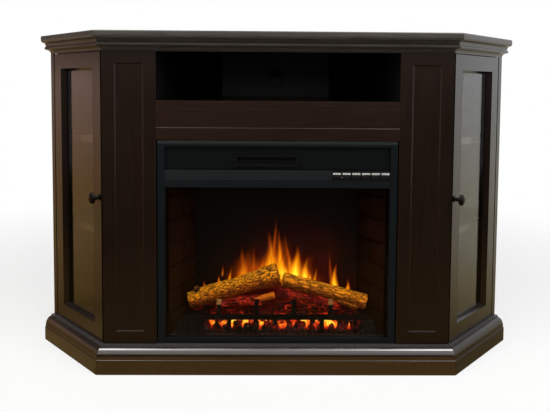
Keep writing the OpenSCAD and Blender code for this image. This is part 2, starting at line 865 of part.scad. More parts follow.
module control_panel()
    color(black_steel) at_front() difference() {
        translate([-fit_half, insert_y, control_z]) cube([2 * fit_half, panel_t, control_h]);
        for (i = [0 : 5])
            translate([button_x(i) - button_w / 2 - button_gap, insert_y - over,
                       button_z - button_h / 2 - button_gap])
                cube([button_w + 2 * button_gap, panel_t + 2 * over, button_h + 2 * button_gap]);
    }

// Cap that shows in the control panel, with a flange behind that keeps it in
module push_button(i)
    color("#0c0d0e") at_front() translate([button_x(i), insert_y, button_z]) {
        translate([-button_w / 2, -button_travel, -button_h / 2])
            cube([button_w, panel_t + button_travel + button_gap, button_h]);
        translate([-button_w / 2 - button_lip, panel_t + button_gap, -button_h / 2 - button_lip])
            cube([button_w + 2 * button_lip, button_flange, button_h + 2 * button_lip]);
    }

module button_1() push_button(0);
module button_2() push_button(1);
module button_3() push_button(2);
module button_4() push_button(3);
module button_5() push_button(4);
module button_6() push_button(5);

module lower_rail()
    color(black_steel) at_front() translate([-fit_half, insert_y, lower_rail_z])
        cube([2 * fit_half, flange_t - joint, lower_rail_h]);

module front_glass()
    color("gray", 0.3) at_front()
        translate([-inner_half - glass_lap, glass_y, glass_z0 - glass_lap])
            cube([2 * (inner_half + glass_lap), front_glass_t, lower_rail_z - glass_z0 + 2 * glass_lap]);

// Side linings that splay in towards the flame screen
module brick_liners()
    color("#33261c") at_front() both_sides()
        translate([0, 0, bed_z]) linear_extrude(deck_z - bed_z)
            polygon([
                [liner_front - joint, fire_y], [screen_half, screen_y],
                [screen_half - liner_t, screen_y], [liner_front - joint - liner_t, fire_y]
            ]);

function liner_x(y) =
    liner_front - joint - liner_t
    + (screen_half - liner_front + joint) * (y - fire_y) / (screen_y - fire_y);

// Moulded bed that rises towards the flame screen
module ember_bed()
    color("#7a2a12") at_front() intersection() {
        translate([-liner_front, 0, 0]) rotate([90, 0, 90]) linear_extrude(2 * liner_front)
            polygon([
                [fire_y, bed_z], [fire_y, bed_z + hearth_h], [fire_y + hearth_w, bed_z + hearth_h],
                [fire_y + hearth_w + bank_w, bed_z + bed_h - bank_top],
                [screen_y - bed_flat, bed_z + bed_h], [screen_y, bed_z + bed_h], [screen_y, bed_z]
            ]);
        linear_extrude(total_h)
            polygon([
                [-liner_x(fire_y), fire_y], [liner_x(fire_y), fire_y],
                [liner_x(screen_y), screen_y], [-liner_x(screen_y), screen_y]
            ]);
    }

// Front bar with uprights, and arms that run back under the logs
module grate()
    color("#141210") at_front() {
        translate([-grate_half, grate_y - bar_d / 2, grate_z - grate_r]) cube([2 * grate_half, bar_d, bar_h]);
        for (x = upright_x) {
            translate([x - upright_w / 2, grate_y - bar_d / 2, grate_z - grate_r])
                cube([upright_w, bar_d, grate_r + upright_h]);
            translate([x - tip_w / 2, grate_y - tip_w / 2, grate_z + upright_h]) cube([tip_w, tip_w, tip_h]);
            translate([x, 0, grate_z]) rod_y(grate_r, grate_y, screen_y - arm_end);
        }
        for (x = leg_x) translate([x - upright_w / 2, grate_y - bar_d / 2, bed_z + hearth_h])
            cube([upright_w, bar_d, grate_z - grate_r + bar_h / 2 - bed_z - hearth_h]);
    }

// A log that tapers from one end to the other
module log_between(a, b, ra, rb) {
    d = b - a;
    long = norm(d);
    translate(a) rotate([0, acos(d[2] / long), atan2(d[1], d[0])])
        cylinder(r1 = ra, r2 = rb, h = long);
}

// Two long logs that lean together over charred ones, the lowest of which lie on the grate's arms
module log_set()
    color("#8a5a2c") at_front() {
        lift = [0, 0, grate_z];
        low = [0, 0, grate_z + grate_r + log_r + log_play];
        for (i = [0 : len(upper_logs) - 1])
            log_between(upper_logs[i][0] + lift, upper_logs[i][1] + lift, upper_log_r[i][0], upper_log_r[i][1]);
        for (ends = low_logs)
            log_between([each ends[0], 0] + low, [each ends[1], 0] + low, log_r, log_r);
    }

module flame_screen()
    color("#201008", 0.5) at_front() translate([-screen_half, screen_y, bed_z])
        cube([2 * screen_half, screen_t, deck_z - bed_z]);

module led_strip()
    color("orange") at_front() translate([0, screen_y + screen_t, bed_z]) {
        translate([-led_half, 0, 0]) cube([2 * led_half, led_t, led_h]);
        for (i = [0 : led_count - 1])
            translate([(i - (led_count - 1) / 2) * led_pitch, led_t, led_z]) rod_y(led_r, 0, led_out);
    }

// Rod with bright tabs that throw moving light on the screen
module flicker_spindle()
    color("silver") at_front() translate([0, spindle_y, spindle_z]) {
        rod_x(spindle_r, -spindle_half, spindle_half);
        for (i = [-tab_count : tab_count])
            translate([tab_pitch * i, 0, 0]) rotate([40 * (i + tab_count), 0, 0])
                translate([-tab_w / 2, -tab_h / 2, -tab_t / 2]) cube([tab_w, tab_h, tab_t]);
    }

// Motor at one end of the spindle, and the two brackets that it turns in
module flicker_motor()
    color("#8a8a86") at_front() {
        for (x = [bracket_in - spindle_half, spindle_half - bracket_in - bracket_t])
            difference() {
                translate([x, spindle_y - bracket_w / 2, bed_z])
                    cube([bracket_t, bracket_w, spindle_z + bracket_top - bed_z]);
                translate([0, spindle_y, spindle_z])
                    rod_x(spindle_r + shaft_gap, x - over, x + bracket_t + over);
            }
        difference() {
            translate([0, spindle_y, spindle_z])
                rod_x(motor_r, bracket_in - spindle_half - motor_len, bracket_in - spindle_half);
            translate([0, spindle_y, spindle_z])
                rod_x(spindle_r + shaft_gap, -spindle_half - joint, bracket_in - spindle_half + over);
        }
    }

// Drum of blades between two discs
module blower_wheel()
    color("#6f7274") at_front() translate([outlet_x, wheel_y, wheel_z]) {
        rod_x(shaft_r, -wheel_len / 2 - shaft_out, wheel_len / 2 + shaft_out);
        for (x = [-wheel_len / 2, wheel_len / 2 - wheel_disc]) rod_x(wheel_r, x, x + wheel_disc);
        for (i = [0 : blades - 1])
            rotate([i * 360 / blades, 0, 0])
                translate([(wheel_disc - wheel_len) / 2, -blade_t / 2, wheel_r - blade_w])
                    cube([wheel_len - wheel_disc, blade_t, blade_w - 0.6]);
    }

// End plates with the wheel's bearings, the scroll round the wheel, and the motor
module blower_housing()
    color("#9a9c9c") at_front() translate([outlet_x, wheel_y, 0]) {
        floor_z = deck_z + sheet_t;
        front = case_y + plate_in - wheel_y;
        half = wheel_len / 2 + plate_gap;
        for (x = [-half - plate_t, half])
            difference() {
                translate([x, front, floor_z])
                    cube([plate_t, scroll_r + plate_edge - front, wheel_z + scroll_r + plate_t - floor_z]);
                translate([0, 0, wheel_z]) rod_x(shaft_r + shaft_gap, x - over, x + plate_t + over);
            }
        translate([0, 0, wheel_z]) intersection() {
            difference() {
                rod_x(scroll_r + scroll_t, joint - half, half - joint);
                rod_x(scroll_r, -half - over, half + over);
            }
            translate([-half - over, 0, -2 * scroll_r]) cube([2 * (half + over), 2 * scroll_r, 4 * scroll_r]);
        }
        difference() {
            translate([0, 0, wheel_z])
                rod_x(blower_motor_r, half + plate_t + joint, half + plate_t + blower_motor_len);
            translate([0, 0, wheel_z]) rod_x(shaft_r + shaft_gap, half, wheel_len / 2 + shaft_out + over);
        }
    }

// Finned block in the outlet, held by the end plates
module heater_element()
    color("#b8a27a") at_front() translate([outlet_x, case_y + fin_set, wheel_z]) {
        half = wheel_len / 2 + plate_gap - joint;
        for (z = [-fin_h / 2, fin_h / 2 - fin_rail])
            translate([-half, 0, z]) cube([2 * half, fin_depth, fin_rail]);
        for (x = [-half : fin_pitch : half - fin_t])
            translate([x, 0, -fin_h / 2]) cube([fin_t, fin_depth, fin_h]);
    }

top_panel();
crown_front();
crown_left();
crown_right();
top_rails();
corner_posts();
column_left();
column_right();
divider_left();
divider_right();
side_panel_left();
side_panel_right();
back_panel();
floor_panel();
plinth_frame();
base_front();
base_left();
base_right();
media_shelf();
header_rail();
header_trim();
cabinet_shelves();
shelf_pins();
pivot_bushes();
door_catches();
door_left_frame();
door_left_glass();
door_left_beads();
door_left_knob();
door_left_fittings();
door_right_frame();
door_right_glass();
door_right_beads();
door_right_knob();
door_right_fittings();
trim_frame();
insert_case();
upper_panel();
control_panel();
lower_rail();
front_glass();
heater_grille();
brick_liners();
ember_bed();
grate();
log_set();
flame_screen();
flicker_spindle();
flicker_motor();
led_strip();
blower_wheel();
blower_housing();
heater_element();
power_inlet();
button_1();
button_2();
button_3();
button_4();
button_5();
button_6();
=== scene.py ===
import math
import random

import bpy
from mathutils import Matrix, Vector


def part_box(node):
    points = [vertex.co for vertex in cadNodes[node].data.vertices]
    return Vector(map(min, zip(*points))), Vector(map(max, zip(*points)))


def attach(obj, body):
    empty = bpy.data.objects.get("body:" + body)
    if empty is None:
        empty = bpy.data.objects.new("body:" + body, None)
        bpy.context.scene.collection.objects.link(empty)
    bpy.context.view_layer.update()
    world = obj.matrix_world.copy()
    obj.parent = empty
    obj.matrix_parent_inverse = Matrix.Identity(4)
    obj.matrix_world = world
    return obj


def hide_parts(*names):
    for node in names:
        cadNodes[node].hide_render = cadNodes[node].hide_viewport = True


mm = 0.001
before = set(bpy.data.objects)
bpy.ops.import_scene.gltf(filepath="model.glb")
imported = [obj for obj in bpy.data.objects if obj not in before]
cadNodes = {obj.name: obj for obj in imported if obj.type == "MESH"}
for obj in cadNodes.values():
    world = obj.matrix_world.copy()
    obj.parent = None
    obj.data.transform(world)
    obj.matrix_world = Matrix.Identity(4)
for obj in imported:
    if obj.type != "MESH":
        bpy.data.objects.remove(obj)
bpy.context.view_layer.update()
print("frame loaded with", len(cadNodes), "nodes")


# camera and studio
cameraSettings = {
    "place": (-23.5, -1656.5, 694.0),  # mm
    "pitchDown": 3.23,                 # degrees, as are yaw and roll
    "yaw": -0.67,
    "roll": 0.42,
    "focalPixels": 576.5,
    "frameWidth": 550,
    "shiftY": -0.16,
    "sensor": 36.0,
}


def makeCamera(s):
    yaw, pitch, roll = (math.radians(s[k]) for k in ("yaw", "pitchDown", "roll"))
    ahead = Vector((-math.sin(yaw) * math.cos(pitch), math.cos(yaw) * math.cos(pitch), -math.sin(pitch)))
    level = Vector((math.cos(yaw), math.sin(yaw), 0))
    upright = level.cross(ahead)
    right = level * math.cos(roll) + upright * math.sin(roll)
    up = upright * math.cos(roll) - level * math.sin(roll)
    data = bpy.data.cameras.new("camera")
    data.sensor_width = s["sensor"]
    data.lens = s["focalPixels"] / s["frameWidth"] * s["sensor"]
    data.shift_y = s["shiftY"]
    camera = bpy.data.objects.new("camera", data)
    bpy.context.scene.collection.objects.link(camera)
    turned = Matrix((right, up, -ahead)).transposed().to_4x4()
    turned.translation = Vector(s["place"]) * mm
    camera.matrix_world = turned
    bpy.context.scene.camera = camera


makeCamera(cameraSettings)
bpy.context.scene.view_settings.view_transform = "Standard"


def editMode():
    bpy.ops.object.mode_set(mode="EDIT")


def objectMode():
    bpy.ops.object.mode_set(mode="OBJECT")


def clearSelection():
    if bpy.context.mode != "OBJECT":
        objectMode()
    bpy.ops.object.select_all(action="DESELECT")


def pick(obj):
    clearSelection()
    obj.select_set(True)
    bpy.context.view_layer.objects.active = obj


def applyPlace():
    bpy.ops.object.transform_apply(location=True, rotation=True, scale=True)


def linear(red, green, blue):
    # a colour as it reads on screen, 0 to 255, made linear
    def one(value):
        value /= 255
        return value / 12.92 if value <= 0.04045 else ((value + 0.055) / 1.055) ** 2.4
    return (one(red), one(green), one(blue), 1)


def addNode(tree, kind, **settings):
    node = tree.nodes.new(kind)
    for key, value in settings.items():
        setattr(node, key, value)
    return node


def feed(socket, value):
    # a socket takes a plain value, or what another node puts out
    if isinstance(value, bpy.types.NodeSocket):
        socket.id_data.links.new(value, socket)
    else:
        socket.default_value = value


def setInputs(node, **values):
    # sockets by name, with _ for a space
    for key, value in values.items():
        feed(node.inputs[key.replace("_", " ")], value)
    return node


def coordinates(tree):
    return addNode(tree, "ShaderNodeTexCoord").outputs


def axes(vector):
    return setInputs(addNode(vector.id_data, "ShaderNodeSeparateXYZ"), Vector=vector).outputs


def mapped(vector, kind="POINT", **values):
    node = addNode(vector.id_data, "ShaderNodeMapping", vector_type=kind)
    return setInputs(node, Vector=vector, **values).outputs[0]


def noise(vector, scale, detail, **values):
    node = addNode(vector.id_data, "ShaderNodeTexNoise")
    return setInputs(node, Vector=vector, Scale=scale, Detail=detail, **values).outputs["Fac"]


def cells(vector, scale):
    # distance from the cracks between cells
    node = addNode(vector.id_data, "ShaderNodeTexVoronoi", feature="DISTANCE_TO_EDGE")
    return setInputs(node, Vector=vector, Scale=scale).outputs["Distance"]


def maths(operation, *values, clamp=False):
    # at least one of the values is what another node puts out
    tree = next(value.id_data for value in values if isinstance(value, bpy.types.NodeSocket))
    node = addNode(tree, "ShaderNodeMath", operation=operation, use_clamp=clamp)
    for socket, value in zip(node.inputs, values):
        feed(socket, value)
    return node.outputs[0]


def times(*values):
    product = values[0]
    for value in values[1:]:
        product = maths("MULTIPLY", product, value)
    return product


def ranged(value, start, end, low=0.0, high=1.0, smooth=False):
    # low up to the start, high past the end
    kind = "SMOOTHSTEP" if smooth else "LINEAR"
    node = addNode(value.id_data, "ShaderNodeMapRange", interpolation_type=kind)
    return setInputs(node, Value=value, From_Min=start, From_Max=end, To_Min=low, To_Max=high).outputs[0]


def blended(factor, first, second):
    node = setInputs(addNode(factor.id_data, "ShaderNodeMix", data_type="RGBA"), Factor=factor)
    feed(node.inputs["A"], first)
    feed(node.inputs["B"], second)
    return node.outputs["Result"]


def scaled(colour, factor):
    node = setInputs(addNode(colour.id_data, "ShaderNodeVectorMath", operation="SCALE"), Scale=factor)
    feed(node.inputs[0], colour)
    return node.outputs[0]


def ramped(value, stops):
    # colours at places along 0 to 1, the first at 0 and the last at 1
    ramp = addNode(value.id_data, "ShaderNodeValToRGB")
    for index, (place, colour) in enumerate(stops):
        if 0 < index < len(stops) - 1:
            ramp.color_ramp.elements.new(place)
        ramp.color_ramp.elements[index].color = colour
    feed(ramp.inputs[0], value)
    return ramp.outputs[0]


def bumped(height, strength, distance):
    node = addNode(height.id_data, "ShaderNodeBump")
    return setInputs(node, Height=height, Strength=strength, Distance=distance).outputs[0]


def mixShaders(tree, factor, first, second, lastKind):
    mix = addNode(tree, "ShaderNodeMixShader")
    for socket, value in zip(mix.inputs, (factor, first.outputs[0], second.outputs[0])):
        feed(socket, value)
    feed(addNode(tree, lastKind).inputs[0], mix.outputs[0])


def emptyMaterial(name):
    material = bpy.data.materials.new(name)
    material.use_nodes = True
    material.node_tree.nodes.clear()
    return material, material.node_tree


def seenDirectly(tree):
    # 1 where the camera, a reflection or glass looks at the backdrop, 0 for the light on the object
    path = addNode(tree, "ShaderNodeLightPath").outputs
    seen = maths("MAXIMUM", path["Is Camera Ray"], path["Is Glossy Ray"])
    return maths("MAXIMUM", seen, path["Is Transmission Ray"])


studio = {
    "worldLight": 0.42,
    "floorSize": 14.0,
    "floorDepth": 0.0004,        # below the cabinet, metres
    "paper": (0.86, 0.86, 0.86, 1),
    "nearWhite": 0.62,           # how far the floor near the cabinet already is plain white
    "fade": (0.9, 2.2),          # metres from the cabinet over which it becomes all white
}
white = (1, 1, 1, 1)


def makeWorld(s):
    world = bpy.data.worlds.new("studioWorld")
    bpy.context.scene.world = world
    world.use_nodes = True
    tree = world.node_tree
    tree.nodes.clear()
    lit = setInputs(addNode(tree, "ShaderNodeBackground"), Color=white, Strength=s["worldLight"])
    plain = setInputs(addNode(tree, "ShaderNodeBackground"), Color=white, Strength=1.0)
    mixShaders(tree, seenDirectly(tree), lit, plain, "ShaderNodeOutputWorld")


def makeFloor(s):
    clearSelection()
    bpy.ops.mesh.primitive_plane_add(size=s["floorSize"], location=(0, 0, -s["floorDepth"]))
    floor = bpy.context.object
    floor.name = "floor"
    material, tree = emptyMaterial("paleFloor")
    paper = setInputs(addNode(tree, "ShaderNodeBsdfDiffuse"), Color=s["paper"])
    plain = setInputs(addNode(tree, "ShaderNodeEmission"), Color=white, Strength=1.0)
    far = addNode(tree, "ShaderNodeVectorMath", operation="LENGTH")
    feed(far.inputs[0], coordinates(tree)["Object"])
    fade = ranged(far.outputs["Value"], *s["fade"], s["nearWhite"], 1.0, smooth=True)
    mixShaders(tree, times(fade, seenDirectly(tree)), paper, plain, "ShaderNodeOutputMaterial")
    floor.data.materials.append(material)


# flats that only reflections see, as the walls, floor and ceiling of a photographer's room:
# middle and size in metres, turn in degrees, and colours at stops along one axis
flats = {
    "leftFlat": {
        "middle": (-2.3, 0.5, 1.25), "size": (5.0, 2.5), "turn": (90, 0, 90), "axis": "Z",
        "stops": ((0.1, (184, 140, 92)), (0.72, (222, 182, 164)), (0.84, (182, 150, 138)),
                  (0.93, (112, 96, 90)))},
    "rightFlat": {
        "middle": (2.3, 0.5, 1.25), "size": (5.0, 2.5), "turn": (90, 0, 90), "strength": 1.15, "axis": "Z",
        "stops": ((0.1, (214, 208, 190)), (0.9, (246, 248, 252)))},
    "frontFlat": {
        "middle": (0, -3.4, 1.25), "size": (4.6, 2.5), "turn": (90, 0, 0), "axis": "Z",
        "stops": ((0.0, (30, 18, 12)), (0.8, (58, 56, 60)), (0.98, (104, 100, 98)),
                  (1.05, (232, 228, 222)))},
    "groundFlat": {
        "middle": (0, -1.85, 0.0004), "size": (4.6, 3.1), "axis": "Y",
        "stops": ((-1.5, (26, 16, 10)), (-0.5, (138, 106, 52)))},
    "groundLeft": {
        "middle": (-1.37, 1.35, 0.0004), "size": (1.86, 3.3), "axis": "X",
        "stops": ((-1.6, (176, 140, 92)), (-0.95, (150, 116, 66)), (-0.8, (122, 94, 50)),
                  (-0.64, (156, 126, 76)))},
    "groundRight": {
        "middle": (1.37, 1.35, 0.0004), "size": (1.86, 3.3), "axis": "X",
        "stops": ((0.62, (128, 110, 74)), (0.95, (176, 160, 122)), (1.6, (210, 202, 180)))},
    # two bright windows with a dim middle
    "topFlat": {
        "middle": (0, -0.7, 2.42), "size": (3.4, 1.2), "strength": 7.2, "axis": "X",
        "stops": ((-1.0, (255, 252, 248)), (-0.5, (178, 176, 172)), (0.0, (116, 113, 110)),
                  (0.5, (178, 177, 175)), (1.0, (255, 254, 252)))},
}
paneDepth = 2.5    # a ray that has passed more surfaces than this is a mirror image inside a pane


def makeFlat(name, s):
    clearSelection()
    turn = [math.radians(angle) for angle in s.get("turn", (0, 0, 0))]
    bpy.ops.mesh.primitive_plane_add(size=1, location=s["middle"], rotation=turn)
    flat = bpy.context.object
    flat.name = name
    flat.scale = (*s["size"], 1)
    applyPlace()
    material, tree = emptyMaterial(name + "Paint")
    low, high = s["stops"][0][0], s["stops"][-1][0]
    stops = [((place - low) / (high - low), linear(*colour)) for place, colour in s["stops"]]
    along = ranged(axes(coordinates(tree)["Object"])[s["axis"]], low, high)
    paint = ramped(along, stops)
    glow = setInputs(addNode(tree, "ShaderNodeEmission"), Color=paint, Strength=s.get("strength", 1.0))
    # a look straight through a pane passes the flat
    path = addNode(tree, "ShaderNodeLightPath").outputs
    few = maths("LESS_THAN", path["Ray Depth"], paneDepth)
    straight = times(few, path["Is Transmission Ray"])
    clear = addNode(tree, "ShaderNodeBsdfTransparent")
    mixShaders(tree, straight, glow, clear, "ShaderNodeOutputMaterial")
    flat.data.materials.append(material)
    flat.visible_camera = False
    flat.visible_diffuse = False
    flat.visible_shadow = False


# name: (place in metres, aim, size, power in watts, colour)
lamps = {
    "topBox": ((0.0, -1.25, 2.35), (0, -0.1, 0.3), (2.6, 0.7), 46, (1.0, 0.985, 0.96)),
    "leftBox": ((-2.3, -1.6, 1.5), (-0.3, 0, 0.4), (1.0, 1.4), 16, (1.0, 0.93, 0.84)),
    "rightBox": ((2.4, -1.5, 1.5), (0.3, 0, 0.4), (1.0, 1.4), 22, (1.0, 1.0, 1.0)),
}


def makeLamp(name, place, aim, size, power, colour):
    data = bpy.data.lights.new(name, "AREA")
    data.shape = "RECTANGLE"
    data.size, data.size_y = size
    data.energy = power
    data.color = colour
    lamp = bpy.data.objects.new(name, data)
    lamp.location = place
    lamp.rotation_euler = (Vector(aim) - Vector(place)).to_track_quat("-Z", "Y").to_euler()
    # reflections see the flats instead
    lamp.visible_glossy = False
    bpy.context.scene.collection.objects.link(lamp)


makeWorld(studio)
makeFloor(studio)
for flatName, flatSettings in flats.items():
    makeFlat(flatName, flatSettings)
for lampName, lampSettings in lamps.items():
    makeLamp(lampName, *lampSettings)
print("camera and studio made")


def newGroup(name, inputs, outputs):
    group = bpy.data.node_groups.new(name, "ShaderNodeTree")
    kinds = {"vector": "NodeSocketVector", "number": "NodeSocketFloat", "colour": "NodeSocketColor"}
    for direction, sockets in (("INPUT", inputs), ("OUTPUT", outputs)):
        for socket, kind in sockets.items():
            group.interface.new_socket(socket, in_out=direction, socket_type=kinds[kind])
    return group, addNode(group, "NodeGroupInput").outputs, addNode(group, "NodeGroupOutput")


def makeStainGroup():
    # stained, lacquered wood: fine pores along X of the vector it is given, and soft patches of tone
    group, given, out = newGroup(
        "stainedGrain",
        {"Vector": "vector", "Dark": "colour", "Light": "colour", "Scale": "number", "Patches": "number"},
        {"Colour": "colour", "Roughness": "number", "Height": "number"})
    along = mapped(given["Vector"], Scale=(0.045, 1, 1))
    pores = noise(along, given["Scale"], 6.0, Roughness=0.62)
    patches = noise(given["Vector"], 3.2, 2.0)
    lean = maths("SUBTRACT", patches, 0.5)
    tone = maths("MULTIPLY_ADD", lean, given["Patches"], ranged(pores, 0.36, 0.66))
    setInputs(out, Colour=blended(tone, given["Dark"], given["Light"]),
              Roughness=ranged(patches, 0.0, 1.0, 0.26, 0.38), Height=pores)
    return group


def makeSpeckGroup():
    # powder coat, moulded plastic and cast surfaces: fine specks with slow patches
    group, given, out = newGroup(
        "fineSpeck",
        {"Vector": "vector", "Colour": "colour", "Scale": "number", "Spread": "number",
         "Rough": "number", "Rough Spread": "number"},
        {"Colour": "colour", "Roughness": "number", "Height": "number"})
    fine = noise(given["Vector"], given["Scale"], 3.0)
    slow = noise(given["Vector"], 7.0, 2.0)
    centred = maths("SUBTRACT", maths("ADD", fine, slow), 1.0)
    gain = maths("MULTIPLY_ADD", centred, given["Spread"], 1.0)
    rough = maths("MULTIPLY_ADD", centred, given["Rough Spread"], given["Rough"])
    setInputs(out, Colour=scaled(given["Colour"], gain), Roughness=rough, Height=fine)
    return group


# colours of glowing matter by its heat, 0 dead to 1 yellow
heatStops = {
    "emberColour": (
        (0.0, (0, 0, 0, 1)), (0.22, (0.075, 0.002, 0.001, 1)), (0.48, (0.50, 0.028, 0.005, 1)),
        (0.74, (0.95, 0.2, 0.008, 1)), (1.0, (1.0, 0.6, 0.05, 1))),
    "flameColour": (
        (0.0, (0, 0, 0, 1)), (0.22, (0.06, 0.005, 0.0002, 1)), (0.48, (0.42, 0.062, 0.002, 1)),
        (0.74, (0.98, 0.3, 0.004, 1)), (1.0, (1.0, 0.7, 0.03, 1))),
}


def makeHeatGroup(name):
    group, given, out = newGroup(name, {"Heat": "number"}, {"Colour": "colour"})
    setInputs(out, Colour=ramped(given["Heat"], heatStops[name]))
    return group


def makeBarkGroup():
    # moulded bark, split and fibrous along X of the vector it is given
    group, given, out = newGroup(
        "mouldedBark",
        {"Vector": "vector", "Light": "colour", "Mid": "colour", "Crack": "colour", "Scale": "number",
         "Top": "number", "Split": "number"},
        {"Colour": "colour", "Cracks": "number", "Height": "number"})
    warp = setInputs(addNode(group, "ShaderNodeTexNoise"), Vector=given["Vector"], Scale=26.0, Detail=3.0)
    warped = addNode(group, "ShaderNodeVectorMath", operation="MULTIPLY_ADD")
    for socket, value in zip(warped.inputs, (warp.outputs["Color"], (0.02, 0.02, 0.02), given["Vector"])):
        feed(socket, value)
    along = mapped(warped.outputs[0], Scale=(0.3, 1, 1))
    fibre = noise(along, 240.0, 5.0, Roughness=0.72)
    crack = ranged(cells(along, given["Scale"]), 0.0, 0.17)
    soft = maths("MAXIMUM", crack, maths("SUBTRACT", 1.0, given["Split"]))
    rise = times(soft, ranged(fibre, 0.36, 0.5))
    # painted light: the tone shifts lighter on upper faces and darker underneath
    tone = maths("MULTIPLY_ADD", fibre, 2.6, given["Top"])
    pale = blended(tone, given["Mid"], given["Light"])
    setInputs(out, Colour=blended(rise, given["Crack"], pale), Cracks=soft, Height=rise)
    return group


stainGroup = makeStainGroup()
speckGroup = makeSpeckGroup()
emberGroup = makeHeatGroup("emberColour")
flameGroup = makeHeatGroup("flameColour")
barkGroup = makeBarkGroup()
print("shader groups made")


def newMaterial(name):
    material = bpy.data.materials.new(name)
    material.use_nodes = True
    tree = material.node_tree
    return material, tree, tree.nodes["Principled BSDF"]


def useGroup(tree, group, **values):
    return setInputs(addNode(tree, "ShaderNodeGroup", node_tree=group), **values).outputs


stain = {
    # dark and light tone of each stain; the crown and slab tones are painted sheen, lighter and greyer than
    # the espresso
    "plain": (linear(17, 8, 4), linear(27, 15, 8)),
    "column": (linear(18, 9, 4), linear(29, 16, 8)),
    "warm": (linear(24, 12, 6), linear(36, 21, 12)),
    "crown": (linear(36, 32, 29), linear(49, 45, 42)),
    "slab": (linear(50, 46, 42), linear(64, 60, 55)),
    "bay": (linear(20, 20, 21), linear(27, 27, 28)),
    "inner": (linear(54, 52, 52), linear(64, 62, 62)),
    "poreScale": 260.0,
    "patches": 0.9,
    "relief": (0.12, 0.0004),    # strength of the bump, and its depth in metres
    "coatRoughness": 0.1,
}


def stainedWood(name, grain, tone="plain", coat=0.75, coatIor=1.5, specular=0.2):
    # grain: degrees that turn the pores to lie along the piece
    material, tree, shader = newMaterial(name)
    turned = mapped(coordinates(tree)["Object"], Rotation=[math.radians(angle) for angle in grain])
    dark, light = stain[tone]
    wood = useGroup(tree, stainGroup, Vector=turned, Dark=dark, Light=light, Scale=stain["poreScale"],
                    Patches=stain["patches"])
    setInputs(shader, Base_Color=wood["Colour"], Roughness=wood["Roughness"],
              Normal=bumped(wood["Height"], *stain["relief"]), Coat_Weight=coat, Coat_IOR=coatIor,
              Coat_Roughness=stain["coatRoughness"], Specular_IOR_Level=specular)
    return material


def speckled(name, colour, scale=900.0, spread=0.25, rough=0.45, roughSpread=0.1, bump=0.15,
             depth=0.0002, metal=0.0, specular=0.5, change=None):
    # change: axis, where it starts and ends in mm, and the colour past its end
    material, tree, shader = newMaterial(name)
    place = coordinates(tree)["Object"]
    if change:
        axis, start, end, second = change
        colour = blended(ranged(axes(place)[axis], start * mm, end * mm), colour, second)
    speck = useGroup(tree, speckGroup, Vector=place, Colour=colour, Scale=scale, Spread=spread, Rough=rough,
                     Rough_Spread=roughSpread)
    setInputs(shader, Base_Color=speck["Colour"], Roughness=speck["Roughness"], Metallic=metal,
              Specular_IOR_Level=specular, Normal=bumped(speck["Height"], bump, depth))
    return material


def clearGlass(name, colour, ior):
    material, tree, shader = newMaterial(name)
    smear = noise(coordinates(tree)["Object"], 9.0, 2.0)
    setInputs(shader, Base_Color=colour, Roughness=ranged(smear, 0.0, 1.0, 0.01, 0.03),
              Transmission_Weight=1.0)
    feed(shader.inputs["IOR"], ior)
    return material


